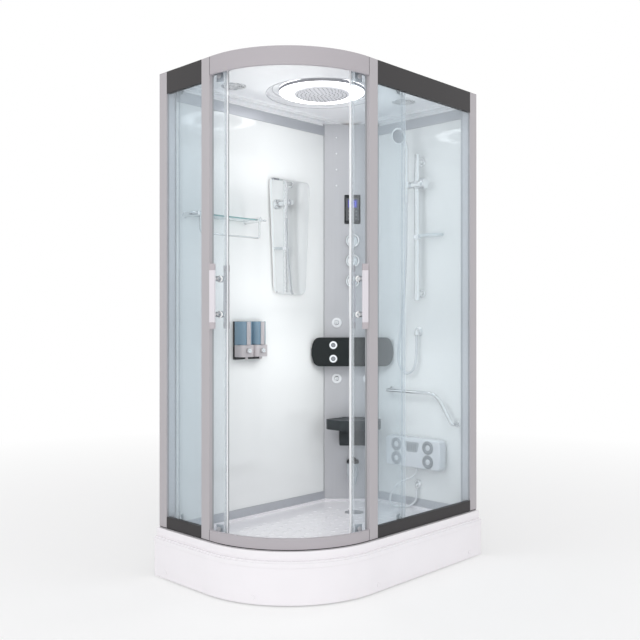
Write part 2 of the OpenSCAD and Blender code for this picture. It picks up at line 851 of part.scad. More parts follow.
// Valves, riser and supply pipes behind the column and the short wall
inlet_r = 10.5;
inlet_l = 40;
inlet_z = 1150;
module water_pipes() {
    rear_x = bx - pipe_in;
    head = [lamp_x, lamp_y, pipe_z];
    top = [col_x + (riser_y + fit_t) / sqrt(2), col_y + (riser_y - fit_t) / sqrt(2), pipe_z];
    color("peru") difference() {
        union() {
            for (z = knob_zs) on_column(fit_t, z) boss(valve_r, skin + 0.5 + valve_l, valve_l);
            on_column(fit_t, outlet_z) translate([0, riser_y, 0]) cylinder(r = riser_r, h = pipe_z - outlet_z);
            for (p = jet_spots) on_column(fit_t, p[1]) {
                rod([0, riser_y, 0], [p[0], riser_y, 0], pipe_r);
                translate([p[0], 0, 0]) boss(pipe_r, riser_y, riser_y - 26);
                translate([p[0], riser_y, 0]) sphere(pipe_r + weld);
            }
            on_column(fit_t, inlet_z) for (s = [-1, 1]) {
                rod([0, riser_y, s * 30], [s * 30, 90, s * 30], pipe_r);
                translate([s * 30, 90, s * 30]) sphere(pipe_r + weld);
            }
            for (s = [-1, 1]) {
                tail = inlet_point(s);
                start_y = col_y + (90 - fit_t - s * 30) / sqrt(2);
                rod([tail[0], start_y, tail[2]], tail - [0, inlet_l - 2, 0], pipe_r);
                rod(tail - [0, inlet_l, 0], tail, inlet_r);
            }
            rod(top, head, pipe_r);
            translate(top) sphere(riser_r + weld);
            translate(head) sphere(pipe_r + weld);
            rod(head, head - [0, 0, 12], pipe_r);
            translate([top[0], top[1], outlet_z]) sphere(riser_r + weld);
            for (e = [[elbow_y, elbow_z], [outlet_y, outlet_z]]) {
                start = [rear_x, col_b_y + 40, e[1]];
                rod(start, [rear_x, e[0], e[1]], pipe_r);
                rod([top[0], top[1], e[1]], start, pipe_r);
                translate(start) sphere(pipe_r + weld);
                translate([rear_x, e[0], e[1]]) sphere(pipe_r + weld);
                rod([rear_x, e[0], e[1]], [wall_x, e[0], e[1]], pipe_r);
            }
        }
        for (z = knob_zs) on_column(fit_t, z) boss(spindle_r + fit_clear, 36, 40);
    }
}
function inlet_point(s) = [col_x + (fit_t + s * 30 + 90) / sqrt(2), by - 4, inlet_z + s * 30];

// Jet sockets, column nozzles, hose elbows and the foot unit's hooks
module jet_socket(t, z) {
    on_column(fit_t + t, z) difference() {
        union() {
            boss(jet_r, -0.2, jet_plate - 0.2);
            boss(jet_r - 5.5, 26, 27);
        }
        translate([0, ball_y, 0]) sphere(ball_r + ball_clear);
        boss(6, 27, 26);
    }
}
module elbow(y, z, x, r) {
    down = 18;
    rod([wall_x - 0.3, y, z], [wall_x - 6, y, z], 22);
    rod([wall_x - 5, y, z], [x, y, z], r + 5);
    translate([x, y, z]) sphere(r + 5);
    rod([x, y, z], [x, y, z - down], r + 4);
}
module wall_fittings() {
    color("lightgray") {
        for (p = jet_spots) jet_socket(p[0], p[1]);
        for (s = [-1, 1], k = [-1, 1]) on_column(fit_t + s * small_jet_t, rest_z + k * small_jet_z)
            difference() {
                boss(small_jet_r, -rest_t - rest_back, 5);
                boss(6, -rest_t - rest_back - 2, 5);
            }
        for (t = [-1, 0, 1], k = [0 : 3]) on_column(fit_t + t * dot_pitch, dot_z - k * dot_pitch) {
            boss(dot_r, 0, 3);
            boss(dot_r - 1.2, 6, 7);
        }
        elbow(elbow_y, elbow_z, elbow_x, hose_r);
        elbow(outlet_y, outlet_z, outlet_x, foot_hose_r - 1);
        for (s = [-1, 1]) {
            y = foot_y + s * hook_pitch / 2;
            slab([foot_x + 48.5, y - 8, foot_z + 96], [wall_x, y + 8, foot_z + 100]);
            slab([foot_x + 48.5, y - 8, foot_z + 96], [foot_x + 51.5, y + 8, foot_z + 114]);
        }
    }
}
module jet_ball(t, z) {
    color("silver") on_column(fit_t + t, z) difference() {
        translate([0, ball_y, 0]) sphere(ball_r);
        boss(ball_r, -9, 10);
        boss(3.5, 20, 40);
    }
}
module upper_left_jet() { jet_ball(jet_spots[0][0], jet_spots[0][1]); }
module upper_right_jet() { jet_ball(jet_spots[1][0], jet_spots[1][1]); }
module lower_left_jet() { jet_ball(jet_spots[2][0], jet_spots[2][1]); }
module lower_right_jet() { jet_ball(jet_spots[3][0], jet_spots[3][1]); }

// Cushion with ends that slant along the walls, on a block
module backrest() {
    front = rest_back + rest_t;
    color([0.1, 0.13, 0.13]) on_column(fit_t, rest_z) {
        translate([rest_shift, 0, 0]) intersection() {
            translate([0, -rest_back, 0]) rotate([90, 0, 0]) linear_extrude(rest_t) intersection() {
                round_rect(rest_w, rest_h, rest_corner);
                circle(rest_w / 2, $fn = 180);
            }
            translate([0, 0, -rest_h]) linear_extrude(2 * rest_h) polygon([
                [-rest_w / 2 + rest_taper, -rest_back], [-rest_w / 2, -rest_back - rest_taper],
                [-rest_w / 2, -front - 1], [rest_w / 2, -front - 1], [rest_w / 2, -rest_back - rest_taper],
                [rest_w / 2 - rest_taper, -rest_back]]);
        }
        slab([-90, -rest_back - 1, -44], [90, 0, 44]);
    }
}

// Folding seat and the bracket with its hinge pin
module seat() {
    color([0.18, 0.2, 0.2]) on_column(fit_t, 0) difference() {
        translate([0, 0, seat_top - seat_t]) linear_extrude(seat_t) polygon([
            [-seat_neck, seat_rear], [-seat_w / 2, -seat_reach * 0.55], [-seat_w / 2 + 6, -seat_reach * 0.64],
            [-seat_w / 4, -seat_reach * 0.94], [-seat_w / 8, -seat_reach], [seat_w / 8, -seat_reach],
            [seat_w / 4, -seat_reach * 0.94], [seat_w / 2 - 6, -seat_reach * 0.64],
            [seat_w / 2, -seat_reach * 0.55], [seat_neck, seat_rear]]);
        translate([-seat_w, seat_pin_y, seat_pin_z]) rotate([0, 90, 0])
            cylinder(r = seat_pin_r + fit_clear, h = 2 * seat_w);
        for (s = [-1, 1]) slab([s > 0 ? seat_neck : -seat_neck - 40, seat_pin_y - 32, seat_top - seat_t - 1],
            [s > 0 ? seat_neck + 40 : -seat_neck, 10, seat_top + 1]);
    }
}
module seat_bracket() {
    top = seat_top - seat_t - 0.3;
    color([0.14, 0.15, 0.15]) on_column(fit_t, 0) {
        slab([-block_half, -block_reach, block_z], [block_half, 0, top - rest_pad]);
        for (s = [-1, 1]) {
            ear = s > 0 ? block_half - ear_t : -block_half;
            slab([ear, seat_pin_y - 16, top - rest_pad - 1], [ear + ear_t, 0, seat_pin_z + 16]);
            slab([s * 40 - 10, -block_reach + 2, top - rest_pad - 1], [s * 40 + 10, -block_reach + 16, top]);
        }
        translate([-block_half, seat_pin_y, seat_pin_z]) rotate([0, 90, 0])
            cylinder(r = seat_pin_r, h = 2 * block_half);
    }
}

// Steam outlet: black cap over a clear cup
module steam_outlet() {
    color("black") on_column(fit_t, steam_z) {
        boss(20, 0, 12);
        boss(7.5, 8, 10);
        translate([0, -cup_r - 4, -7]) cylinder(r = cup_r + 1, h = 18);
        slab([-14, -cup_r, -7], [14, -2, 9]);
    }
    color("azure", 0.6) on_column(fit_t, steam_z - 7) translate([0, -cup_r - 4, -105]) difference() {
        union() {
            translate([0, 0, 50]) cylinder(r = cup_r - 1, h = 55);
            cylinder(r1 = 15, r2 = cup_r - 1, h = 50);
        }
        translate([0, 0, 4]) cylinder(r1 = 12, r2 = cup_r - 4, h = 47);
        translate([0, 0, 50.5]) cylinder(r = cup_r - 4, h = 55);
    }
}
gen_y = 62;
gen_t = 66;
gen_half = 54;
gen_z = 420;
gen_h = 210;
steam_t = 26;
steam_y = 22;
steam_r = 6;
module steam_generator() {
    color("whitesmoke") on_column(fit_t, gen_z) {
        slab([-gen_half, gen_y, 0], [gen_half, gen_y + gen_t, gen_h]);
        for (s = [-1, 1], z = [20, gen_h - 34])
            slab([s * 46 - 4, skin + 0.3, z], [s * 46 + 4, gen_y + 2, z + 14]);
        low = steam_z - gen_z;
        turns = [[steam_t, gen_y + 14, low], [steam_t, steam_y, low], [0, steam_y, low]];
        rod([steam_t, gen_y + 14, 2], turns[0], steam_r);
        for (k = [0, 1]) rod(turns[k], turns[k + 1], steam_r);
        for (p = turns) translate(p) sphere(steam_r + weld);
        rod(turns[2], [0, 8.2, low], steam_r);
    }
}

// Roof shell: flat ceiling, round recess for the lamp, stepped edge on the walls
module roof_plate() {
    plan(roof_edge);
}
module roof() {
    color("white") difference() {
        union() {
            translate([0, 0, ceiling_z]) linear_extrude(ceiling_t) roof_plate();
            band(roof_edge, roof_edge + 3, ceiling_z, frame_top);
            translate([0, 0, column_top]) linear_extrude(ceiling_z - column_top + 1) difference() {
                roof_plate();
                translate([-bx, -by]) square([cabin_w - wall_t - 60, cabin_d - wall_t - 60]);
            }
            difference() {
                union() {
                    slab([long_x0, wall_y - wall_lip, wall_top], [bx, by, ceiling_z + ceiling_t]);
                    slab([wall_x - wall_lip, short_y0, wall_top], [bx, by, ceiling_z + ceiling_t]);
                }
                translate([0, 0, wall_top - 1]) linear_extrude(column_top - wall_top + 1) polygon([
                    [col_a_x - 14, by + 1], [col_a_x - 14, wall_y - 20], [wall_x - 20, col_b_y - 14],
                    [bx + 1, col_b_y - 14], [bx + 1, by + 1]]);
            }
            slab([long_x0, by - 3, ceiling_z], [bx, by, frame_top]);
            slab([bx - 3, short_y0, ceiling_z], [bx, by, frame_top]);
            translate([lamp_x, lamp_y, ceiling_z]) cylinder(r = recess_r + 3, h = recess_z - ceiling_z + ceiling_t);
        }
        translate([lamp_x, lamp_y, column_top]) cylinder(r = recess_r, h = recess_z - column_top);
        translate([lamp_x, lamp_y, ceiling_z]) cylinder(r = stem_r + 0.5, h = 100);
        translate([fan_x, fan_y, ceiling_z - 1]) cylinder(r = duct_r - 3, h = 20);
        translate([speaker_x, speaker_y, ceiling_z - 1]) cylinder(r = duct_r - 3, h = 20);
        on_column(fit_t, column_top - 1) translate([0, riser_y, 0]) cylinder(r = riser_r + hole_clear, h = 100);
    }
}
module ceiling_lamp() {
    color("white") translate([lamp_x, lamp_y, ceiling_z + 2]) difference() {
        cylinder(r = lamp_r, h = recess_z - ceiling_z - 2);
        translate([0, 0, -1]) cylinder(r = lamp_hole, h = 40);
    }
}
module rain_head() {
    color("silver") translate([lamp_x, lamp_y, ceiling_z - 6]) {
        cylinder(r = rain_r, h = 9);
        translate([0, 0, 8]) cylinder(r1 = rain_r - 30, r2 = 20, h = 14);
        cylinder(r = stem_r, h = pipe_z - 12 - ceiling_z + 6);
        translate([0, 0, recess_z + ceiling_t - ceiling_z + 6]) cylinder(r = 22, h = 8);
    }
}

// Fan ring with its duct and motor, and the speaker with its ring
module ceiling_ring(x, y) {
    translate([x, y, ceiling_z - 3]) difference() {
        cylinder(r = ring_r, h = 3);
        translate([0, 0, -1]) cylinder(r = ring_r - 10, h = 5);
    }
}
module ceiling_rings() {
    color("lightgray") {
        ceiling_ring(fan_x, fan_y);
        ceiling_ring(speaker_x, speaker_y);
        translate([fan_x, fan_y, ceiling_z + ceiling_t]) difference() {
            cylinder(r = duct_r, h = duct_z - ceiling_z - ceiling_t);
            translate([0, 0, -1]) cylinder(r = duct_r - 3, h = 200);
        }
        translate([fan_x, fan_y, ceiling_z + 50]) difference() {
            union() {
                cylinder(r = 16, h = 20);
                for (a = [0, 90]) rotate([0, 0, a]) slab([-duct_r + 2, -3, 4], [duct_r - 2, 3, 14]);
            }
            translate([0, 0, -1]) cylinder(r = axle_r + fit_clear, h = 16);
        }
        translate([speaker_x, speaker_y, ceiling_z + ceiling_t]) difference() {
            cylinder(r = duct_r, h = 34);
            translate([0, 0, -1]) cylinder(r = duct_r - 3, h = 31);
        }
    }
}
module fan_rotor() {
    color("gray") translate([fan_x, fan_y, ceiling_z + 16]) {
        cylinder(r = 14, h = 30);
        cylinder(r = axle_r, h = 46);
        for (k = [0 : 6]) rotate([0, 0, k * 360 / 7]) translate([8, 0, 4]) rotate([35, 0, 0])
            translate([0, -1, 0]) cube([duct_r - 16, 2, 22]);
    }
}

// Tapered mirror on two pads
module wall_mirror() {
    top_half = mirror_w / 2 - mirror_corner;
    low_half = mirror_w * 0.39 - 34;
    color("lightsteelblue") translate([mirror_x, wall_y - 8, 0]) {
        rotate([90, 0, 0]) linear_extrude(6) hull() {
            for (s = [-1, 1]) {
                translate([s * top_half, mirror_z + mirror_h - mirror_corner])
                    circle(mirror_corner, $fn = bend_fn);
                translate([s * low_half, mirror_z + 34]) circle(34, $fn = bend_fn);
            }
        }
        for (z = [120, mirror_h - 120]) slab([-50, -0.5, mirror_z + z - 20], [50, 8, mirror_z + z + 20]);
    }
}

// Glass shelf between two clips, with a towel rail under its front edge
clip_y = wall_y - shelf_d - 12;
wire_y = wall_y - shelf_d - 12;
module shelf_glass() {
    color("lightcyan", 0.5) slab([shelf_x - shelf_w / 2 + 4, wall_y - shelf_d - 2, shelf_z],
        [shelf_x + shelf_w / 2 - 4, wall_y - 4, shelf_z + shelf_t]);
}
module shelf_rail() {
    color("lightgray") {
        for (s = [-1, 1]) {
            x = shelf_x + s * shelf_w / 2;
            difference() {
                rod([x, clip_y - 4, shelf_z + shelf_t / 2], [x, wall_y, shelf_z + shelf_t / 2], shelf_clip_r);
                slab([shelf_x - shelf_w / 2 + 3.7, wall_y - shelf_d - 2.3, shelf_z - 0.3],
                    [shelf_x + shelf_w / 2 - 3.7, wall_y - 3.7, shelf_z + shelf_t + 0.3]);
            }
            rod([x, wire_y, shelf_z], [x, wire_y, towel_z], wire_r);
            translate([x, wire_y, towel_z]) sphere(wire_r);
            rod([x + s * 9, clip_y + 4, shelf_z + shelf_t / 2], [x + s * 42, clip_y + 4, shelf_z + shelf_t / 2], 5);
        }
        rod([shelf_x - shelf_w / 2, wire_y, towel_z], [shelf_x + shelf_w / 2, wire_y, towel_z], wire_r);
    }
}

// Double soap dispenser
soap_pitch = soap_w / 2;
tank_r = soap_w / 4;
module soap_dispenser() {
    front = wall_y - soap_depth;
    color("black") slab([soap_x - soap_w / 2, wall_y - 12, soap_z], [soap_x + soap_w / 2, wall_y, soap_z + soap_h]);
    for (s = [-1, 1]) {
        x = soap_x + s * soap_pitch / 2;
        color("steelblue", 0.7) translate([x, wall_y - 20, soap_z + 65]) intersection() {
            cylinder(r = tank_r - 0.2, h = soap_h - 65);
            translate([-tank_r, -tank_r, 0]) cube([2 * tank_r, tank_r + 8, soap_h]);
        }
        color("silver") {
            slab([x - 11, front - 5, soap_z + 65], [x + 11, front - 1, soap_z + soap_h - 2]);
            difference() {
                slab([x - tank_r + 0.5, front, soap_z + 12], [x + tank_r - 0.5, wall_y - 12, soap_z + 65]);
                translate([x, 0, soap_z + 40]) boss(soap_bore, front + 16, 20);
            }
            slab([x - 11, front - 5, soap_z + 60], [x + 11, front, soap_z + 65]);
            translate([x, front + 12, soap_z]) cylinder(r = 6, h = 13);
        }
    }
}
module soap_button(s) {
    color("lightgray") translate([soap_x + s * soap_pitch / 2, wall_y - soap_depth, soap_z + 40])
        boss(soap_bore - 0.4, 15.4 - soap_travel, 20);
}
module soap_button_left() { soap_button(-1); }
module soap_button_right() { soap_button(1); }

// Shower rail, slider and hand shower
dish_z = slider_z - 243;
dish_l = 134;
dish_w = 74;
module shower_rail() {
    color("lightgray") {
        translate([rail_x, rail_y, rail_z]) cylinder(r = rail_r, h = rail_l);
        for (z = [rail_z + 34, rail_z + rail_l - 34]) {
            rod([rail_x + 4, rail_y, z], [wall_x, rail_y, z], 10);
            rod([wall_x - 5, rail_y, z], [wall_x, rail_y, z], 19);
        }
    }
    color([0.8, 0.9, 0.95]) translate([rail_x, rail_y, dish_z]) {
        translate([0, 0, -9]) cylinder(r = rail_r + 5, h = 18);
        slab([-8, -26, -2], [8, -14, 3]);
        translate([-6, -dish_l / 2 - 16, -3]) scale([dish_w / dish_l, 1, 1]) difference() {
            cylinder(r = dish_l / 2, h = 11);
            translate([0, 0, 3]) cylinder(r = dish_l / 2 - 4, h = 9);
        }
    }
}
module rail_slider() {
    color("gainsboro") difference() {
        union() {
            rod([rail_x - 14, hand_y + 26, slider_z], [rail_x - 14, rail_y - 34, slider_z], slider_r);
            rod([rail_x, rail_y, slider_z - 17], [rail_x, rail_y, slider_z + 17], rail_r + 8);
            rod([rail_x - 14, rail_y - 34, slider_z], [rail_x - 14, rail_y - 62, slider_z], 27);
            rod([hand_x, hand_y, slider_z - 16], [hand_x, hand_y, slider_z + 16], socket_r);
        }
        rod([rail_x, rail_y, slider_z - 40], [rail_x, rail_y, slider_z + 40], rail_r + fit_clear);
        translate([hand_x, hand_y, slider_z - 40]) cylinder(r = hand_r + 0.4, h = 80);
    }
}
head_tilt = 20;
head_r = 39;
head_x = rail_x - 88;
head_z = slider_z + 221;
neck_z = slider_z + 169;
grip_z = slider_z - 23;
sleeve_z = slider_z - 87;
module hand_shower() {
    neck = [hand_x, hand_y, neck_z];
    core = [head_x + 16, hand_y, head_z + 4];
    color("gainsboro") difference() {
        union() {
            rod([hand_x, hand_y, grip_z], neck, hand_r);
            rod([hand_x, hand_y, grip_z], [hand_x, hand_y, sleeve_z], sleeve_r);
            translate(neck) sphere(hand_r);
            rod(neck, core, hand_r);
            translate([head_x, hand_y, head_z]) rotate([0, 90 - head_tilt, 0]) {
                translate([0, 0, -4]) cylinder(r = head_r, h = 10);
                translate([0, 0, 5]) cylinder(r1 = head_r - 2, r2 = 18, h = 14);
            }
        }
        translate([hand_x, hand_y, sleeve_z - 1]) cylinder(r = hose_bore, h = 51);
    }
}

// Tube swept along a route, as one closed skin
function ahead(p, k) = let (a = p[max(k - 1, 0)], b = p[min(k + 1, len(p) - 1)]) (b - a) / norm(b - a);
function blend_at(p, s) = let (n = len(p) - 1, k = min(floor(s), n - 1), f = s - k,
    a = p[max(k - 1, 0)], b = p[k], c = p[k + 1], d = p[min(k + 2, n)])
    0.5 * (2 * b + (c - a) * f + (2 * a - 5 * b + 4 * c - d) * f * f + (3 * b - a - 3 * c + d) * f * f * f);
function smooth_route(p, steps) = [for (i = [0 : steps]) blend_at(p, i * (len(p) - 1) / steps)];
module hose(route, r, steps, sides) {
    p = smooth_route(route, steps);
    n = len(p);
    side_x = [0, 1, 0];
    rings = [for (k = [0 : n - 1]) let (d = ahead(p, k), u = cross(side_x, d) / norm(cross(side_x, d)),
        v = cross(d, u)) for (j = [0 : sides - 1]) p[k] + r * (cos(360 * j / sides) * u + sin(360 * j / sides) * v)];
    walls = [for (k = [0 : n - 2], j = [0 : sides - 1]) let (a = k * sides, b = a + sides, m = (j + 1) % sides)
        each [[a + j, b + m, a + m], [a + j, b + j, b + m]]];
    polyhedron(points = rings, faces = concat(walls, [[for (j = [0 : sides - 1]) j]],
        [[for (j = [sides - 1 : -1 : 0]) (n - 1) * sides + j]]));
}
module shower_hose() { color("gainsboro") hose(SHOWER_ROUTE, hose_r, 44, 10); }
module foot_hose() { color("white") hose(FOOT_ROUTE, foot_hose_r, 32, 10); }

// Grab rail on two wall posts
module grab_rail() {
    a = [grab_x, wall_y - 278, grab_z];
    b = [grab_x, wall_y - 552, grab_z];
    c = [grab_x, wall_y - 592, grab_z - 27];
    d = [grab_x, wall_y - 660, grab_z - 134];
    color("lightgray") {
        rod(a, b, grab_r);
        rod(b, c, grab_r);
        rod(c, d, grab_r);
        for (p = [a, b, c, d]) translate(p) sphere(grab_r + 0.3);
        for (p = [a, d]) {
            rod(p, [wall_x, p[1], p[2]], grab_r);
            rod([wall_x - 5, p[1], p[2]], [wall_x, p[1], p[2]], 19);
        }
    }
}

// Foot massage unit, hung on two hooks
massager_t = foot_t - 3;
pair_y = 92;
pair_z = 32.5;
ring_out = 31;
ring_in = 13;
module foot_massager() {
    color("white") difference() {
        translate([foot_x + 3, foot_y, foot_z + foot_h / 2]) rotate([0, 90, 0]) linear_extrude(massager_t)
            round_rect(foot_h, foot_w, 20);
        for (s = [-1, 1]) translate([foot_x, foot_y + s * hook_pitch / 2, foot_z]) {
            slab([46, -12, 64], [foot_t - 3, 12, 120]);
            slab([46, -12, 64], [foot_t + 1, 12, 100.3]);
        }
        for (s = [-1, 1], k = [-1, 1])
            translate([foot_x, foot_y + s * pair_y, foot_z + foot_h / 2 + k * pair_z]) rotate([0, 90, 0])
                difference() {
                    cylinder(r = ring_out, h = 8);
                    cylinder(r = ring_in, h = 9);
                }
    }
}

tray();
tray_apron();
tray_frame();
levelling_feet();
waste_trap();
drain_cover();
frame_posts();
panel_rails();
curved_header();
curved_sill();
frame_gasket();
fixed_glass();
left_door_glass();
right_door_glass();
left_door_seals();
right_door_seals();
left_door_handle();
right_door_handle();
left_door_hangers();
right_door_hangers();
left_front_roller();
left_rear_roller();
right_front_roller();
right_rear_roller();
wall_panels();
wall_frames();
column();
control_panel();
mixer_knob();
diverter_knob();
jets_knob();
water_pipes();
wall_fittings();
upper_left_jet();
upper_right_jet();
lower_left_jet();
lower_right_jet();
backrest();
seat();
seat_bracket();
steam_outlet();
steam_generator();
roof();
ceiling_lamp();
rain_head();
ceiling_rings();
fan_rotor();
wall_mirror();
shelf_glass();
shelf_rail();
soap_dispenser();
soap_button_left();
soap_button_right();
shower_rail();
rail_slider();
hand_shower();
shower_hose();
grab_rail();
foot_massager();
foot_hose();
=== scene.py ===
import math

import bmesh
import bpy
from mathutils import Matrix, Vector


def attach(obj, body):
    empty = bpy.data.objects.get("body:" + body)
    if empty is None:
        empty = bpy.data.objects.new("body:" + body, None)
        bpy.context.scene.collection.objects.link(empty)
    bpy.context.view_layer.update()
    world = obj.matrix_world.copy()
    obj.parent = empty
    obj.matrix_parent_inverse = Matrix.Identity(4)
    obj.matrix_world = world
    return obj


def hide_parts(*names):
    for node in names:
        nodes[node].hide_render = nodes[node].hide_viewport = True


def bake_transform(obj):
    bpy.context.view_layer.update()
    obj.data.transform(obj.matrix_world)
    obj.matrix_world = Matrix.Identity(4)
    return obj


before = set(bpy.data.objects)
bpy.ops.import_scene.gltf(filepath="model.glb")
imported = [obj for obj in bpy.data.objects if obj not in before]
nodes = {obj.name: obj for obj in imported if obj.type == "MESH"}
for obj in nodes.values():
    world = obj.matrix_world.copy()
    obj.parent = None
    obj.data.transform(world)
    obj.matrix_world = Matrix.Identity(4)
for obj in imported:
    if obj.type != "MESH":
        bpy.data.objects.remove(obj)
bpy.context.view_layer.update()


# Measures

def mm(x, y, z):
    """A point in millimetres, in metres."""
    return Vector((x, y, z)) / 1000


def move(x, y, z):
    return Matrix.Translation(mm(x, y, z))


def turn(degrees, axis):
    return Matrix.Rotation(math.radians(degrees), 4, axis)


# Column face: x along it towards the short wall, -y into the cabin, its line of fittings a little aside
COLUMN = move(463, 263, 0) @ turn(-45, "Z")
FITTINGS_ASIDE = 6
# A turned piece's own axis, laid along -y
INTO_CABIN = turn(90, "X")
# Inner faces of the two walls
LONG_WALL_Y = 360
SHORT_WALL_X = 560
# Centre of the circle that the closed doors lie on, its radius, and the direction in which they meet
CORNER = (-149, 51)
DOOR_R = 372
MEETING = 225
# Centre that the left door swings about, and the swings that open the two doors at rest
PIVOT = (222.825, 208.473)
SWING = 19.5
SHORT_SWING = 18.6


def swung(degrees):
    return move(*PIVOT, 0) @ turn(-degrees, "Z") @ move(-PIVOT[0], -PIVOT[1], 0)


# The right door is the left one mirrored across the corner
ACROSS = Matrix(((0, 1, 0, 0), (1, 0, 0, 0), (0, 0, 1, 0), (0, 0, 0, 1)))
LEFT_DOOR = swung(SWING)
RIGHT_DOOR = move(*CORNER, 0) @ ACROSS @ move(-CORNER[0], -CORNER[1], 0) @ swung(SHORT_SWING)


def on_column(t, z):
    """A place on the column, t across it from its line of fittings."""
    return COLUMN @ move(FITTINGS_ASIDE + t, 0, z)


def on_door(degrees, z):
    """A place on the doors' circle centre, x pointing to the glass in a direction."""
    return move(*CORNER, z) @ turn(degrees, "Z")


# Camera: its place in metres, and its turn and lens, as the photograph was taken

EYE = Vector((-2.568384, -2.456694, 1.058275))
YAW = math.radians(44.064)
PITCH = math.radians(0.051)
LENS_PX = 824.121
AXIS_RISE_PX = 1.286
PICTURE_PX = 640
SENSOR_MM = 36

camera_data = bpy.data.cameras.new("camera")
camera = bpy.data.objects.new("camera", camera_data)
bpy.context.scene.collection.objects.link(camera)
look = Vector((math.cos(YAW) * math.cos(PITCH), math.sin(YAW) * math.cos(PITCH), math.sin(PITCH)))
camera.location = EYE
camera.rotation_euler = look.to_track_quat("-Z", "Y").to_euler()
camera_data.sensor_width = SENSOR_MM
camera_data.lens = LENS_PX * SENSOR_MM / PICTURE_PX
camera_data.shift_y = -AXIS_RISE_PX / PICTURE_PX
camera_data.clip_end = 60
bpy.context.scene.camera = camera


# The two hoses

SHOWER_ROUTE = [
    (538, -83, 984.6), (538, -83, 930), (537, -82, 880), (535, -75, 840), (530, -58, 811),
    (524, -34, 804), (518, -10, 820), (514, 4, 855), (512, 6, 900), (511, -2, 960),
    (510, -14, 1040), (507, -29, 1130), (502, -42, 1240), (495, -53, 1370), (489, -60, 1500),
    (488, -61, 1590), (488, -61, 1649.5),
]
FOOT_ROUTE = [
    (547, -78, 263.6), (547, -78, 236), (546, -74, 208), (542, -60, 188), (532, -42, 174),
    (517, -18, 171), (500, 8, 171), (486, 26, 178), (481, 31, 198), (481, 26, 226),
    (486, 12, 258), (495, -12, 284), (508, -44, 303), (522, -74, 320), (530, -90, 344),
    (530, -90, 353), (530, -90, 361.6),
]


def smoothed(route, parts):
    """A route's points with more between them, on one smooth curve through them all."""
    points = [mm(*p) for p in route]
    last = len(points) - 1
    curve = []
    for step in range(last * parts + 1):
        k = min(step // parts, last - 1)
        f = step / parts - k
        a, b, c, d = points[max(k - 1, 0)], points[k], points[k + 1], points[min(k + 2, last)]
        curve.append(0.5 * (2 * b + (c - a) * f + (2 * a - 5 * b + 4 * c - d) * f ** 2
                            + (3 * b - a - 3 * c + d) * f ** 3))
    return curve


def tube(name, points, radius, sides=14):
    """A closed round tube along points, with the way along it kept as the attribute run."""
    mesh = bmesh.new()
    run = mesh.verts.layers.float.new("run")
    rings, way = [], 0.0
    side = Vector((0, 1, 0))
    for k, point in enumerate(points):
        ahead = (points[min(k + 1, len(points) - 1)] - points[max(k - 1, 0)]).normalized()
        side = (side - ahead * side.dot(ahead)).normalized()
        other = ahead.cross(side)
        way += (point - points[k - 1]).length if k else 0
        ring = []
        for j in range(sides):
            angle = 2 * math.pi * j / sides
            vert = mesh.verts.new(point + radius * (math.cos(angle) * side + math.sin(angle) * other))
            vert[run] = way
            ring.append(vert)
        rings.append(ring)
    for low, high in zip(rings, rings[1:]):
        for j in range(sides):
            m = (j + 1) % sides
            mesh.faces.new((low[j], low[m], high[m], high[j]))
    mesh.faces.new(rings[0][::-1])
    mesh.faces.new(rings[-1])
    data = bpy.data.meshes.new(name)
    mesh.to_mesh(data)
    mesh.free()
    for face in data.polygons:
        face.use_smooth = len(face.vertices) == 4
    piece = bpy.data.objects.new(name, data)
    bpy.context.scene.collection.objects.link(piece)
    return piece


shower_run = smoothed(SHOWER_ROUTE, 6)
shower_skin = tube("shower_hose_skin", shower_run, 0.006)
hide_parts("shower_hose")

foot_run = smoothed(FOOT_ROUTE, 6)
foot_skin = tube("foot_hose_skin", foot_run, 0.005)
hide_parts("foot_hose")


# Node trees

def worked(operation, swapped=False):
    """A sum of two values as a wire's method, swapped where the wire stands on the right."""
    def method(wire, other):
        return wire.sum(operation, *((other, wire) if swapped else (wire, other)))
    return method


class Wire:
    """An output in a node tree, with sums on it."""

    def __init__(self, tree, socket):
        self.tree = tree
        self.socket = socket

    def sum(self, operation, *values):
        return self.tree.add("ShaderNodeMath", {"operation": operation}, dict(enumerate(values)))

    __add__ = worked("ADD")
    __radd__ = worked("ADD", swapped=True)
    __sub__ = worked("SUBTRACT")
    __rsub__ = worked("SUBTRACT", swapped=True)
    __mul__ = worked("MULTIPLY")
    __rmul__ = worked("MULTIPLY", swapped=True)
    __pow__ = worked("POWER")
    __gt__ = worked("GREATER_THAN")
    __lt__ = worked("LESS_THAN")
    most = worked("MAXIMUM")

    def size(self):
        return self.sum("ABSOLUTE", self)

    def wave(self):
        return self.sum("SINE", self)


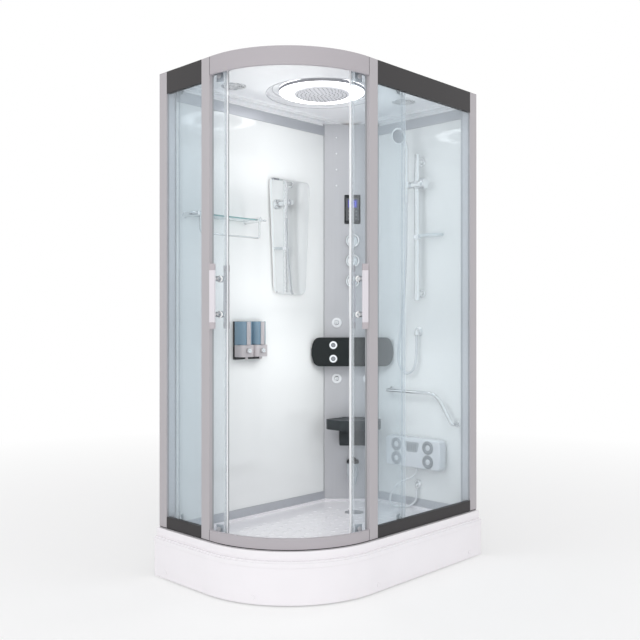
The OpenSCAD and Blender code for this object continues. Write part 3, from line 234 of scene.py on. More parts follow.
class Tree:
    """A node tree that is being wired."""

    def __init__(self, tree):
        self.tree = tree

    def add(self, kind, settings=None, values=None, out=0):
        node = self.tree.nodes.new(kind)
        for name, value in (settings or {}).items():
            if name == "stops":
                ramp = node.color_ramp
                while len(ramp.elements) < len(value):
                    ramp.elements.new(0.5)
                for stop, (place, level) in zip(ramp.elements, value):
                    stop.position = place
                    stop.color = (level, level, level, 1)
            else:
                setattr(node, name, value)
        for name, value in (values or {}).items():
            self.join(value, node.inputs[name])
        return Wire(self, node.outputs[out])

    def join(self, value, socket):
        if isinstance(value, Wire):
            self.tree.links.new(value.socket, socket)
        else:
            socket.default_value = value

    def other(self, wire, name):
        return Wire(self, wire.socket.node.outputs[name])

    def place(self, scale=(1, 1, 1)):
        """Object coordinates, in metres times scale."""
        where = self.add("ShaderNodeTexCoord", out="Object")
        if scale == (1, 1, 1):
            return where
        return self.add("ShaderNodeMapping", None, {"Vector": where, "Scale": scale})

    def rise(self, vector):
        """A vector's part along z."""
        return self.add("ShaderNodeSeparateXYZ", None, {0: vector}, out="Z")

    def noise(self, vector, scale, detail=2.0, rough=0.5):
        return self.add("ShaderNodeTexNoise", None, {"Vector": vector, "Scale": scale, "Detail": detail,
                                                     "Roughness": rough})

    def ramp(self, value, *stops):
        return self.add("ShaderNodeValToRGB", {"stops": stops}, {0: value})

    def between(self, factor, a, b):
        """A colour between two."""
        return self.add("ShaderNodeMix", {"data_type": "RGBA"}, {0: factor, 6: a, 7: b}, out=2)


class Finish(Tree):
    """A material with its principled shader."""

    def __init__(self, name, **sockets):
        self.material = bpy.data.materials.new(name)
        self.material.use_nodes = True
        super().__init__(self.material.node_tree)
        self.shader = self.tree.nodes["Principled BSDF"]
        self.set(**sockets)

    def set(self, **sockets):
        for name, value in sockets.items():
            self.join(value, self.shader.inputs[name.replace("_", " ")])
        return self

    def relief(self, height, distance, rounding=0.0):
        """Bumps of a height over faces whose edges look rounded."""
        values = {"Height": height, "Distance": distance, "Strength": 1.0}
        if rounding:
            values["Normal"] = self.add("ShaderNodeBevel", {"samples": 4}, {"Radius": rounding})
        return self.set(Normal=self.add("ShaderNodeBump", None, values))


def rgb(red, green, blue):
    """A colour from its 8-bit levels, as a shader takes it."""
    levels = [c / 255 for c in (red, green, blue)]
    return (*(c / 12.92 if c < 0.04045 else ((c + 0.055) / 1.055) ** 2.4 for c in levels), 1)


def shade(colour, k):
    return (*(c * k for c in colour[:3]), 1)


def gloss(name, colour, roughness=0.18, peel=0.00002, wear=0.06):
    """Glossy acrylic or moulded plastic: a slight orange peel, cloudy gloss and faint dust."""
    f = Finish(name, Specular_IOR_Level=0.5, Coat_Weight=0.6, Coat_Roughness=0.06)
    where = f.place()
    cloud = f.noise(where, 6, 4)
    fine = f.noise(where, 220, 2)
    f.set(Base_Color=f.between(cloud, shade(colour, 1 - wear), colour),
          Roughness=roughness + (cloud - 0.5) * 0.14 + (fine - 0.5) * 0.05)
    return f.relief(fine, peel, rounding=0.0015)


def satin(name, colour, lines, roughness=0.34, metallic=0.75):
    """Anodised profile: fine draw lines along it, and a slightly cloudy sheen."""
    f = Finish(name, Specular_IOR_Level=0.5)
    drawn = f.noise(f.place(lines), 1, 3, 0.6)
    cloud = f.noise(f.place(), 3.5, 3)
    f.set(Base_Color=f.between(drawn * 0.6 + cloud * 0.4, shade(colour, 0.93), shade(colour, 1.05)),
          Metallic=metallic, Roughness=roughness + (drawn - 0.5) * 0.16 + (cloud - 0.5) * 0.08)
    return f.relief(drawn, 0.00001, rounding=0.0012)


def plated(name, colour, roughness):
    """Chrome plate: a clear mirror with wipe marks and a faint ripple, its colour darkened at a glance as
    painted shade, in place of dark reflections at its outlines.
    """
    f = Finish(name, Metallic=1.0)
    wipe = f.noise(f.place((40, 40, 260)), 1, 3)
    ripple = f.noise(f.place(), 45, 1)
    # Painted shade: the colour darkens where the chrome is seen at a glance, standing in for dark reflections
    # at its outlines
    painted_edge_shade = f.add("ShaderNodeLayerWeight", None, {"Blend": 0.5}, out="Facing") ** 3
    f.set(Base_Color=f.between(painted_edge_shade + wipe * 0.05, colour, shade(colour, 0.3)),
          Roughness=roughness + wipe * 0.07)
    return f.relief(ripple, 0.00002, rounding=0.0008)


def matte(name, colour, roughness, grain=900):
    """Moulded plastic, rubber or foam skin: a fine grain and uneven sheen."""
    f = Finish(name, Specular_IOR_Level=0.45)
    where = f.place()
    skin = f.noise(where, grain, 3, 0.6)
    cloud = f.noise(where, 9, 4)
    f.set(Base_Color=f.between(cloud, shade(colour, 0.86), shade(colour, 1.14)),
          Roughness=roughness + (cloud - 0.5) * 0.16 + (skin - 0.5) * 0.12)
    return f.relief(skin, 0.00004, rounding=0.0015)


def pane(name, tint, edge, haze=0.03, lying=False):
    """Clear glass: tinted, glossier at a glance, its cut edges deeper in colour, with faint water marks."""
    f = Finish(name, Roughness=0.04, Specular_IOR_Level=0.6)
    marks = f.ramp(f.noise(f.place(), 30, 5), (0.45, 0.0), (0.8, 1.0))
    facing = f.add("ShaderNodeLayerWeight", None, {"Blend": 0.5}, out="Facing")
    upward = f.rise(f.add("ShaderNodeNewGeometry", out="Normal")).size()
    # A standing sheet's top and foot edges face up and down, and a lying one's edges face sideways
    cut = upward < 0.7 if lying else upward > 0.7
    f.set(Base_Color=f.between(cut, (0.93, 0.96, 0.98, 1), edge))
    through = f.add("ShaderNodeBsdfTransparent", None, {"Color": tint})
    share = (facing ** 5 * 0.9 + 0.03 + haze + marks * 0.01).most(cut * 0.7)
    body = f.add("ShaderNodeMixShader", None, {0: share, 1: through})
    f.tree.links.new(f.shader.outputs[0], body.socket.node.inputs[2])
    f.tree.links.new(body.socket, f.tree.nodes["Material Output"].inputs["Surface"])
    return f


# Stretch of the draw lines of a profile: none, along an upright one, along a lying one
STILL = (1, 1, 1)
UPRIGHT = (700, 700, 5)
LYING = (6, 6, 900)

acrylic = gloss("white_acrylic", rgb(250, 247, 250), roughness=0.2)
profile = satin("silver_profile", rgb(187, 183, 186), UPRIGHT, roughness=0.5, metallic=0.2)
header = satin("grey_curved_profile", rgb(184, 179, 183), LYING, roughness=0.55, metallic=0.15)
graphite = satin("graphite_rail", rgb(62, 60, 61), LYING, roughness=0.38, metallic=0.5)
wall_alloy = satin("wall_profile_alloy", rgb(194, 196, 201), UPRIGHT, metallic=0.5)
skin_alloy = satin("column_skin_alloy", rgb(203, 203, 206), (90, 90, 3), roughness=0.36, metallic=0.3)
galvanised = satin("zinc_tube", rgb(150, 152, 155), STILL, roughness=0.45, metallic=0.7)
black_rubber = matte("black_rubber", rgb(42, 42, 44), 0.6)
lip_grey = matte("grey_magnet_lip", rgb(100, 102, 108), 0.4)
liner_alloy = satin("post_liner_alloy", rgb(213, 214, 218), UPRIGHT, roughness=0.45, metallic=0.2)
# Grey of the strips between the entry posts and the panes: painted shade for the gaps there
gap_shade_grey = matte("grey_gap_shade_strip", rgb(158, 161, 164), 0.5)
clear_vinyl = pane("white_vinyl_seal", (0.94, 0.955, 0.965, 1), rgb(240, 243, 247), haze=0.2)
white_panel = gloss("white_glass_panel", rgb(243, 244, 243), roughness=0.08, peel=0.000004, wear=0.02)
chrome = plated("polished_chrome", (0.96, 0.965, 0.97, 1), 0.07)
soft_chrome = plated("satin_chrome", (0.95, 0.96, 0.97, 1), 0.16)
profile_light = satin("handle_satin", rgb(226, 222, 227), (5, 5, 900), roughness=0.5, metallic=0.1)
handle_grey = satin("handle_end_satin", rgb(190, 183, 187), (5, 5, 900), roughness=0.5, metallic=0.15)
brushed = satin("brushed_steel", rgb(214, 216, 220), UPRIGHT, metallic=0.2)
black_gloss = gloss("black_glass", rgb(22, 22, 24), 0.08, wear=0.2)
nylon = matte("white_nylon", rgb(232, 229, 220), 0.4)
brass = satin("pipe_brass_metal", rgb(196, 160, 96), STILL, metallic=0.9)
white_plastic = matte("white_waste_plastic", rgb(228, 228, 225), 0.35)
feet_plastic = matte("black_foot_plastic", rgb(40, 40, 41), 0.55)
foam = matte("dark_foam_skin", rgb(12, 20, 21), 0.42, grain=1400)
seat_plastic = matte("dark_seat_plastic", rgb(48, 53, 56), 0.45, grain=1200)
roof_plastic = gloss("white_roof_acrylic", rgb(244, 244, 246), 0.16)
generator_paint = gloss("generator_enamel", rgb(232, 232, 230), 0.3)
ring_plastic = gloss("silver_ring_plastic", rgb(196, 196, 200), 0.2)
fan_plastic = matte("grey_fan_plastic", rgb(92, 92, 94), 0.45)
fitting_white = gloss("white_chrome_plastic", rgb(251, 252, 254), 0.12)
black_plastic = matte("black_cap_plastic", rgb(24, 24, 26), 0.4)
display_grey = gloss("grey_display_glass", rgb(84, 86, 89), 0.15)
mark_grey = matte("display_mark_print", rgb(150, 152, 157), 0.4)
# Grey of the ring round the lamp: partly trim plastic, partly painted shade
trim_and_shade_grey = matte("lamp_trim_and_shade_grey", rgb(165, 165, 170), 0.4)
rain_grey = matte("rain_disc_plastic", rgb(207, 206, 210), 0.35)
spray_grey = matte("spray_face_plastic", rgb(134, 136, 142), 0.35)
nozzle_grey = matte("nozzle_rubber", rgb(104, 104, 108), 0.5)
tank_plastic = gloss("blue_tank_shell", rgb(122, 149, 167), 0.14)
soap_silver = satin("soap_silver_plastic", rgb(196, 190, 192), (5, 5, 700), roughness=0.35, metallic=0.3)
window_grey = gloss("unit_window_plastic", rgb(178, 183, 187), 0.3)
unit_plastic = gloss("pale_unit_plastic", rgb(226, 229, 233), 0.25)
grey_plastic = matte("grey_ring_plastic", rgb(150, 154, 158), 0.4)
cup_plastic = pane("clear_cup", (0.93, 0.95, 0.97, 1), rgb(214, 222, 228), haze=0.3)
fixed_pane = pane("fixed_pane_glass", (0.935, 0.96, 0.972, 1), rgb(150, 180, 190))
door_pane = pane("door_pane_glass", (0.94, 0.962, 0.975, 1), rgb(150, 180, 190))
shelf_pane = pane("shelf_pane_glass", (0.88, 0.93, 0.93, 1), rgb(120, 165, 165), haze=0.1, lying=True)
dish_pane = pane("soap_dish_acrylic", (0.97, 0.98, 0.985, 1), rgb(224, 230, 233), haze=0.02, lying=True)


def silvered():
    """Mirror silver with a faint mist."""
    f = Finish("silvered_mirror", Metallic=1.0)
    mist = f.noise(f.place(), 12, 3)
    f.set(Base_Color=f.between(mist, (0.94, 0.945, 0.95, 1), (0.975, 0.98, 0.98, 1)),
          Roughness=0.015 + mist * 0.02)
    return f


def glow():
    """The lit diffuser of the ceiling lamp."""
    f = Finish("lamp_diffuser", Roughness=0.4, Base_Color=(0.95, 0.95, 0.95, 1), Emission_Strength=1.0)
    grain = f.noise(f.place(), 300, 2)
    f.set(Emission_Color=f.between(grain, (3.0, 3.0, 3.05, 1), (3.3, 3.3, 3.35, 1)))
    return f


def lit(name, deep, low, high):
    """A display surface that glows between two tones over its own deep one."""
    f = Finish(name, Roughness=0.3, Base_Color=deep, Emission_Strength=1.0)
    grain = f.noise(f.place(), 400, 2)
    f.set(Emission_Color=f.between(grain, low, high))
    return f


def ribbed(name, colour, pitch, depth, metallic=0.0, roughness=0.3):
    """Hose wall, wound in ribs along its run, the grooves between the ribs painted darker as painted shade.
    """
    f = Finish(name, Metallic=metallic, Coat_Weight=0.4, Coat_Roughness=0.1)
    run = f.add("ShaderNodeAttribute", {"attribute_name": "run"}, None, out="Fac")
    rib = (run * (2 * math.pi / pitch)).wave() * 0.5 + 0.5
    cloud = f.noise(f.place(), 20, 3)
    # Painted shade: the colour darkens in the grooves between the ribs
    f.set(Base_Color=f.between(rib * 0.7 + cloud * 0.3, shade(colour, 0.72), colour),
          Roughness=roughness + (cloud - 0.5) * 0.1)
    return f.relief(rib, depth)


mirror_silver = silvered()
lamp_glow = glow()
blue_light = lit("display_figure_light", rgb(60, 64, 170), rgb(96, 100, 200), rgb(112, 116, 214))
window_light = lit("display_window_light", rgb(40, 42, 90), rgb(60, 62, 128), rgb(72, 74, 142))
silver_hose = ribbed("silver_hose_wall", rgb(238, 241, 244), 0.004, 0.0006, 0.2, 0.22)
white_hose = ribbed("white_hose_wall", rgb(248, 249, 251), 0.003, 0.0003)

NODE_FINISH = {
    acrylic: ("tray", "tray_apron"),
    galvanised: ("tray_frame",),
    feet_plastic: ("levelling_feet",),
    white_plastic: ("waste_trap",),
    chrome: ("drain_cover", "shower_rail", "grab_rail", "shelf_rail", "rail_slider", "hand_shower",
             "left_door_handle", "right_door_handle", "wall_fittings"),
    profile: ("frame_posts",),
    header: ("curved_header", "curved_sill"),
    graphite: ("panel_rails",),
    black_rubber: ("frame_gasket",),
    fixed_pane: ("fixed_glass",),
    door_pane: ("left_door_glass", "right_door_glass"),
    clear_vinyl: ("left_door_seals", "right_door_seals"),
    brushed: ("left_door_hangers", "right_door_hangers"),
    nylon: ("left_front_roller", "left_rear_roller", "right_front_roller", "right_rear_roller"),
    white_panel: ("wall_panels",),
    wall_alloy: ("wall_frames",),
    skin_alloy: ("column",),
    black_gloss: ("control_panel", "steam_outlet"),
    soft_chrome: ("mixer_knob", "diverter_knob", "jets_knob", "soap_button_left", "soap_button_right",
                  "upper_left_jet", "upper_right_jet", "lower_left_jet", "lower_right_jet", "rain_head"),
    brass: ("water_pipes",),
    foam: ("backrest",),
    seat_plastic: ("seat", "seat_bracket"),
    generator_paint: ("steam_generator",),
    roof_plastic: ("roof",),
    lamp_glow: ("ceiling_lamp",),
    ring_plastic: ("ceiling_rings",),
    fan_plastic: ("fan_rotor",),
    mirror_silver: ("wall_mirror",),
    shelf_pane: ("shelf_glass",),
    tank_plastic: ("soap_dispenser",),
    silver_hose: ("shower_hose",),
    white_hose: ("foot_hose",),
    unit_plastic: ("foot_massager",),
}
for finish, names in NODE_FINISH.items():
    for name in names:
        for held in nodes[name].material_slots:
            held.material = finish.material
shower_skin.data.materials.append(silver_hose.material)
foot_skin.data.materials.append(white_hose.material)


# Modelling

def let_go():
    bpy.ops.object.select_all(action="DESELECT")


def take(piece):
    let_go()
    piece.select_set(True)
    bpy.context.view_layer.objects.active = piece


def added(name):
    piece = bpy.context.object
    piece.name = name
    piece.data.name = name
    bpy.ops.object.transform_apply(location=True, rotation=True, scale=True)
    return piece


def block(name, low, high):
    """A box between two corners in millimetres."""
    let_go()
    low, high = mm(*low), mm(*high)
    bpy.ops.mesh.primitive_cube_add(size=1, location=(low + high) / 2, scale=high - low)
    return added(name)


def edit(piece, test, *steps):
    """Selects the faces whose middle and normal pass the test, and runs the steps on them."""
    take(piece)
    bpy.ops.object.mode_set(mode="EDIT")
    bpy.ops.mesh.select_mode(type="FACE")
    bpy.ops.mesh.select_all(action="DESELECT")
    mesh = bmesh.from_edit_mesh(piece.data)
    for face in mesh.faces:
        if test(face.calc_center_median() * 1000, face.normal):
            face.select = True
    mesh.select_flush(True)
    bmesh.update_edit_mesh(piece.data)
    for step, settings in steps:
        step(**settings)
    bpy.ops.object.mode_set(mode="OBJECT")
    return piece


def every(centre, normal):
    return True


OUTWARD = (bpy.ops.mesh.normals_make_consistent, {"inside": False})


def inset(thickness, depth=0.0):
    return bpy.ops.mesh.inset, {"thickness": thickness / 1000, "depth": depth / 1000}


def push(x, y, z):
    return bpy.ops.transform.translate, {"value": mm(x, y, z)}


def grow(x, y, z):
    return bpy.ops.transform.resize, {"value": (x, y, z)}


def pull(x, y, z):
    return bpy.ops.mesh.extrude_region_move, {"TRANSFORM_OT_translate": {"value": mm(x, y, z)}}


def plate(name, outline, thickness):
    """A flat plate from z 0 to its thickness, on an outline in millimetres."""
    let_go()
    bpy.ops.mesh.primitive_circle_add(vertices=len(outline), radius=0.1, fill_type="NGON")
    piece = added(name)
    for vert, (x, y) in zip(piece.data.vertices, outline):
        vert.co = mm(x, y, 0)
    return edit(piece, every, pull(0, 0, thickness), (bpy.ops.mesh.select_all, {"action": "SELECT"}), OUTWARD)


def turned(name, profile_points, sides=48):
    """A solid of revolution about z, from its (radius, height) points in millimetres, closed at both ends."""
    let_go()
    (r0, z0), rest = profile_points[0], profile_points[1:]
    bpy.ops.mesh.primitive_circle_add(vertices=sides, radius=r0 / 1000, fill_type="NGON",
                                      location=mm(0, 0, z0))
    piece = added(name)
    steps = []
    for (ra, za), (rb, zb) in zip(profile_points, rest):
        steps += [pull(0, 0, zb - za), grow(rb / ra, rb / ra, 1)]
    return edit(piece, every, *steps, (bpy.ops.mesh.select_all, {"action": "SELECT"}), OUTWARD)


def bend(name, points, radius, sides=12):
    """A round bar along points in millimetres."""
    curve = bpy.data.curves.new(name, "CURVE")
    curve.dimensions = "3D"
    curve.bevel_depth = radius / 1000
    curve.bevel_resolution = sides // 4
    curve.use_fill_caps = True
    line = curve.splines.new("POLY")
    line.points.add(len(points) - 1)
    for point, place in zip(line.points, points):
        point.co = (*mm(*place), 1)
    piece = bpy.data.objects.new(name, curve)
    bpy.context.scene.collection.objects.link(piece)
    take(piece)
    bpy.ops.object.convert(target="MESH")
    return bpy.context.object


def rounded(corners, radii, steps=6):
    """An outline with each corner rounded to its radius."""
    count = len(corners)
    radii = [radii] * count if isinstance(radii, (int, float)) else radii
    outline = []
    for k, corner in enumerate(corners):
        here = Vector(corner)
        back = (Vector(corners[k - 1]) - here).normalized()
        ahead = (Vector(corners[(k + 1) % count]) - here).normalized()
        if radii[k] == 0:
            outline.append(tuple(here))
            continue
        half = math.acos(max(-1, min(1, back.dot(ahead)))) / 2
        reach = radii[k] / math.tan(half)
        middle = here + (back + ahead).normalized() * radii[k] / math.sin(half)
        a, b = here + back * reach - middle, here + ahead * reach - middle
        whole = a.angle_signed(b)
        for s in range(steps + 1):
            spot = a.copy()
            spot.rotate(Matrix.Rotation(-whole * s / steps, 2))
            outline.append(tuple(middle + spot))
    return outline


def box_outline(width, height, radius, steps=6):
    w, h = width / 2, height / 2
    return rounded([(-w, -h), (w, -h), (w, h), (-w, h)], radius, steps)


def soften(piece, width, segments=3, angle=35):
    """Rounds the sharp edges by a width in millimetres."""
    take(piece)
    bevel = piece.modifiers.new("round", "BEVEL")
    bevel.width = width / 1000
    bevel.segments = segments
    bevel.limit_method = "ANGLE"
    bevel.angle_limit = math.radians(angle)
    bpy.ops.object.modifier_apply(modifier=bevel.name)
    bpy.ops.object.shade_smooth_by_angle(angle=math.radians(angle))
    return piece


def smooth(piece, angle=40):
    take(piece)
    bpy.ops.object.shade_smooth_by_angle(angle=math.radians(angle))
    return piece


def paint(piece, finish):
    piece.data.materials.clear()
    piece.data.materials.append(finish.material)
    return piece


def set_in(piece, place):
    """Moves a piece's mesh to its place, and turns a mirrored mesh the right way out."""
    piece.data.transform(place)
    if place.determinant() < 0:
        piece.data.flip_normals()
    piece.data.update()
    return piece


def copy_of(piece, name):
    twin = piece.copy()
    twin.data = piece.data.copy()
    twin.name = name
    twin.data.name = name
    bpy.context.scene.collection.objects.link(twin)
    return twin


def joined(name, pieces):
    let_go()
    for piece in pieces:
        piece.select_set(True)
    bpy.context.view_layer.objects.active = pieces[0]
    bpy.ops.object.join()
    pieces[0].name = name
    pieces[0].data.name = name
    return pieces[0]


def fit(piece, finish, body, slot, *stands_for):
    """Gives a piece its finish and its body, and hides the solids that it stands for; its slot is not used.
    """
    paint(piece, finish)
    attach(piece, body)
    if stands_for:
        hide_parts(*stands_for)
    return piece


# Hoses in place

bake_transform(shower_skin)
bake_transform(foot_skin)


# Tray

def dome(name, radius, height, sides=12):
    """A low round head, standing a little into its ground."""
    return smooth(turned(name, [(radius, -0.5), (radius, 0.2), (radius * 0.86, height * 0.7),
                                (radius * 0.55, height)], sides))


# Pitch of the studs, height and corner radius of the floor that bears them, and the bare round at the drain
STUD_PITCH = 52
FLOOR_Z = 165
FLOOR_R = 300
DRAIN = (275, 75)
DRAIN_CLEAR = 70

studs = []
stud = dome("stud", 11, 1.1)
for line in range(-8, 9):
    for row in range(-5, 5):
        x = line * STUD_PITCH + 20
        y = row * STUD_PITCH + (STUD_PITCH / 2 if line % 2 else 0)
        inside = -430 < x < 430 and -255 < y < 240 and x + y < 520
        on_curve = x > CORNER[0] or y > CORNER[1] or math.hypot(x - CORNER[0], y - CORNER[1]) < FLOOR_R
        if inside and on_curve and math.hypot(x - DRAIN[0], y - DRAIN[1]) > DRAIN_CLEAR:
            studs.append(set_in(copy_of(stud, "stud"), move(x, y, FLOOR_Z)))
bpy.data.objects.remove(stud)
fit(joined("tray_studs", studs), acrylic, "cabin", "acrylic")


# Door handles

# Height of the handles, and degrees between them and the meeting line
HANDLE_Z = 1147
HANDLE_ASIDE = 5.3
# A grip's half length without its ends, an end's length, and how far the grips stand from the glass's middle
GRIP_HALF = 100
GRIP_END = 25
OUTER_GRIP = 62
INNER_GRIP = 46
# Half distance of the two posts, and where a post starts from the glass's middle
POST_RISE = 69
POST_START = 2.8


def grip_bar(name, radius):
    """The satin middle of a handle bar, and its two grey ends."""
    section = box_outline(12, 24, 3)
    middle = soften(set_in(plate(name, section, 2 * GRIP_HALF), move(radius, 0, -GRIP_HALF)), 1.0)
    ends = [soften(set_in(plate(name + "_end", section, GRIP_END), move(radius, 0, z)), 1.0)
            for z in (-GRIP_HALF - GRIP_END, GRIP_HALF)]
    return middle, joined(name + "_ends", ends)


def handle_posts(name):
    """The posts between the grips and the glass, two outside and two inside."""
    posts = []
    for height in (-POST_RISE, POST_RISE):
        for side, neck, reach in ((1, 46, 53.4), (-1, 30, 37.2)):
            post = turned(name, [(12, 0), (13.5, 0.6), (13.5, 4), (10, 6), (10, neck), (11.5, neck + 2),
                                 (11.5, reach)], 32)
            place = move(0, 0, height) @ turn(90 * side, "Y") @ move(0, 0, DOOR_R * side + POST_START)
            posts.append(set_in(post, place))
    return smooth(joined(name, posts))


for side, swing in (("left", LEFT_DOOR), ("right", RIGHT_DOOR)):
    place = swing @ on_door(MEETING - HANDLE_ASIDE, HANDLE_Z)
    outer, outer_ends = grip_bar(side + "_outer_grip", DOOR_R + OUTER_GRIP)
    inner, inner_ends = grip_bar(side + "_inner_grip", DOOR_R - INNER_GRIP)
    posts = handle_posts(side + "_handle_posts")
    for piece, finish in ((outer, profile_light), (outer_ends, handle_grey), (inner, profile_light),
                          (inner_ends, handle_grey), (posts, chrome)):
        fit(set_in(piece, place), finish, side + "_door", "chrome_trim", side + "_door_handle")


# Places on the walls

def face(t, z):
    """A place on the column's face, a piece's own z pointing into the cabin."""
    return on_column(t, z) @ INTO_CABIN


def long_wall(x, z):
    return move(x, LONG_WALL_Y, z) @ INTO_CABIN


def short_wall(y, z):
    return move(SHORT_WALL_X, y, z) @ turn(-90, "Z") @ INTO_CABIN


def ring(name, outline, sides=48):
    """A closed ring about z, spun from its (radius, height) outline in millimetres."""
    let_go()
    bpy.ops.mesh.primitive_circle_add(vertices=len(outline), radius=0.1, fill_type="NOTHING")
    piece = added(name)
    for vert, (r, z) in zip(piece.data.vertices, outline):
        vert.co = mm(r, 0, z)
    take(piece)
    bpy.ops.object.mode_set(mode="EDIT")
    bpy.ops.mesh.select_all(action="SELECT")
    bpy.ops.mesh.spin(steps=sides, angle=2 * math.pi, center=(0, 0, 0), axis=(0, 0, 1))
    bpy.ops.mesh.select_all(action="SELECT")
    bpy.ops.mesh.remove_doubles(threshold=0.00001)
    bpy.ops.mesh.normals_make_consistent(inside=False)
    bpy.ops.object.mode_set(mode="OBJECT")
    return piece


def eased(points, radii, steps=6):
    """A path's points in millimetres with its inner corners rounded off."""
    path = [Vector(p) for p in points]
    radii = [radii] * len(path) if isinstance(radii, (int, float)) else radii
    way = [tuple(path[0])]
    for k in range(1, len(path) - 1):
        a = path[k] + (path[k - 1] - path[k]).normalized() * radii[k]
        b = path[k] + (path[k + 1] - path[k]).normalized() * radii[k]
        for s in range(steps + 1):
            f = s / steps
            way.append(tuple(a * (1 - f) ** 2 + path[k] * 2 * f * (1 - f) + b * f ** 2))
    return way + [tuple(path[-1])]


def bored(piece, cutter):
    """Cuts one piece's shape out of another."""
    take(piece)
    cut = piece.modifiers.new("bore", "BOOLEAN")
    cut.operation = "DIFFERENCE"
    cut.solver = "EXACT"
    cut.object = cutter
    bpy.ops.object.modifier_apply(modifier=cut.name)
    bpy.data.objects.remove(cutter)
    return piece


def placed(name, piece, places, finish, body="cabin", slot="fitting_chrome", stands_for=()):
    """Copies of one piece at several places, as one piece."""
    copies = [set_in(copy_of(piece, name), place) for place in places]
    bpy.data.objects.remove(piece)
    whole = joined(name, copies) if len(copies) > 1 else copies[0]
    return fit(whole, finish, body, slot, *stands_for)


def moulded(name, outline, thickness, width, place, finish, body, slot, *stands_for):
    """A plate with rounded edges, set in its place."""
    piece = soften(plate(name, outline, thickness), width)
    return fit(set_in(piece, place), finish, body, slot, *stands_for)


# Column fittings

def in_flute(c, pitch, width):
    """Whether a face's middle lies in a flute, one of a width at each pitch round z, in degrees."""
    return math.degrees(math.atan2(c.y, c.x)) % pitch < width


def knob(name, z):
    dial = turned(name, [
        (10, 24), (14, 23.4), (16.4, 21), (17, 18), (17, 10.5), (24, 10.2), (25.4, 12), (25.6, 23),
        (27, 26), (29, 27), (31.6, 27), (33.6, 25.4), (34.5, 22), (34.5, 9), (33.4, 6.4), (31, 5.2)], 60)
    edit(dial, lambda c, n: c.xy.length > 30 and 9 < c.z < 22 and in_flute(c, 60, 12), grow(0.955, 0.955, 1))
    return smooth(set_in(dial, face(0, z)), 30)


for name, z in (("mixer_knob", 1446), ("diverter_knob", 1346.5), ("jets_knob", 1247)):
    fit(knob(name + "_dial", z), soft_chrome, name, "knob_plastic", name)

# Body jets: a ball nozzle that turns in a white socket, its centre a little behind the face
BALL_R = 14
BALL_IN = 2
ball_angles = [math.radians(a) for a in range(42, 176, 12)]
ball_profile = [(3.2, 1), (3.4, 8.1), (4.6, 9), (7.9, 9)] + [
    (BALL_R * math.sin(a), BALL_R * math.cos(a) - BALL_IN) for a in ball_angles]
JETS = (("upper_left_jet", -77.5, 1042), ("upper_right_jet", 77.5, 1042),
        ("lower_left_jet", -77.5, 767), ("lower_right_jet", 77.5, 767))
for name, t, z in JETS:
    nozzle = smooth(turned(name + "_ball", ball_profile, 32), 50)
    fit(set_in(nozzle, face(t, z)), soft_chrome, name, "jet_grey", name)
socket = smooth(ring("jet_sockets", [(14.6, 0.2), (24.9, 0.2), (24.9, 4), (23.6, 6), (21.4, 6.8), (14.2, 6.8),
                                     (12.4, 6.2), (13.4, 4)], 48), 35)
placed("jet_sockets", socket, [face(t, z) for _, t, z in JETS], fitting_white, stands_for=("wall_fittings",))

# Small jets in the backrest's front: a white rim, a groove and a grey core
REST_Z = 901
REST_FRONT = 76.2
rim = smooth(ring("rest_jet_rims", [(10.4, 0), (19, 0), (19, 3.4), (17.4, 5), (12, 5), (10.4, 3.6)], 36), 30)
core = smooth(turned("rest_jet_cores", [(2.4, 1), (3, 4), (6.4, 4.6), (8.4, 3.2), (8.6, -0.3)], 28), 40)
spots = [face(side * 97, REST_Z + row * 33) @ move(0, 0, REST_FRONT) for side in (-1, 1) for row in (-1, 1)]
placed("rest_jet_rims", rim, spots, fitting_white)
placed("rest_jet_cores", core, spots, grey_plastic)

# Small nozzles in three columns of four
NOZZLE_PITCH = 79
NOZZLE_TOP = 1956
nozzle_places = [face(NOZZLE_PITCH * m, NOZZLE_TOP - NOZZLE_PITCH * k) for m in (-1, 0, 1) for k in range(4)]
placed("column_nozzles", dome("column_nozzles", 5, 3.5, 14), nozzle_places, fitting_white)


def outlet(name, y, z, out, drop, radius, plate_r):
    """A hose's elbow on the short wall: a flange, a bend downwards and a nut."""
    flange = soften(turned(name, [(plate_r, 0.3), (plate_r, 3.4), (plate_r - 2, 5.4), (radius + 4, 5.8),
                                  (radius + 2, 8)], 40), 0.6)
    way = eased([(0, 0, 3), (0, 0, out), (0, -drop, out)], min(out, drop) * 0.6)
    arm = smooth(bend(name, way, radius, 20))
    nut = soften(turned(name, [(radius + 1, 0), (radius + 1, 7)], 6), 0.5)
    set_in(nut, move(0, -drop, out) @ turn(-90, "X"))
    whole = joined(name, [flange, arm, nut])
    fit(set_in(whole, short_wall(y, z)), chrome, "cabin", "fitting_chrome")


outlet("shower_outlet", y=-83, z=1003, out=22, drop=18, radius=10, plate_r=22)
outlet("foot_outlet", y=-78, z=282, out=13, drop=18, radius=8, plate_r=18)

# The foot unit's two hooks, drawn from the side
UNIT_Y = -79.5
UNIT_Z = 433
HOOK_ASIDE = 85
HOOK_WIDTH = 16
HOOK_OUTLINE = [(548.5, 458), (560, 458), (560, 462), (551.5, 462), (551.5, 476), (548.5, 476)]
for side in (-1, 1):
    hook = plate("unit_hook", HOOK_OUTLINE, HOOK_WIDTH)
    place = move(0, UNIT_Y + HOOK_ASIDE * side + HOOK_WIDTH / 2, 0) @ turn(90, "X")
    fit(set_in(soften(hook, 0.5), place), fitting_white, "cabin", "fitting_chrome")

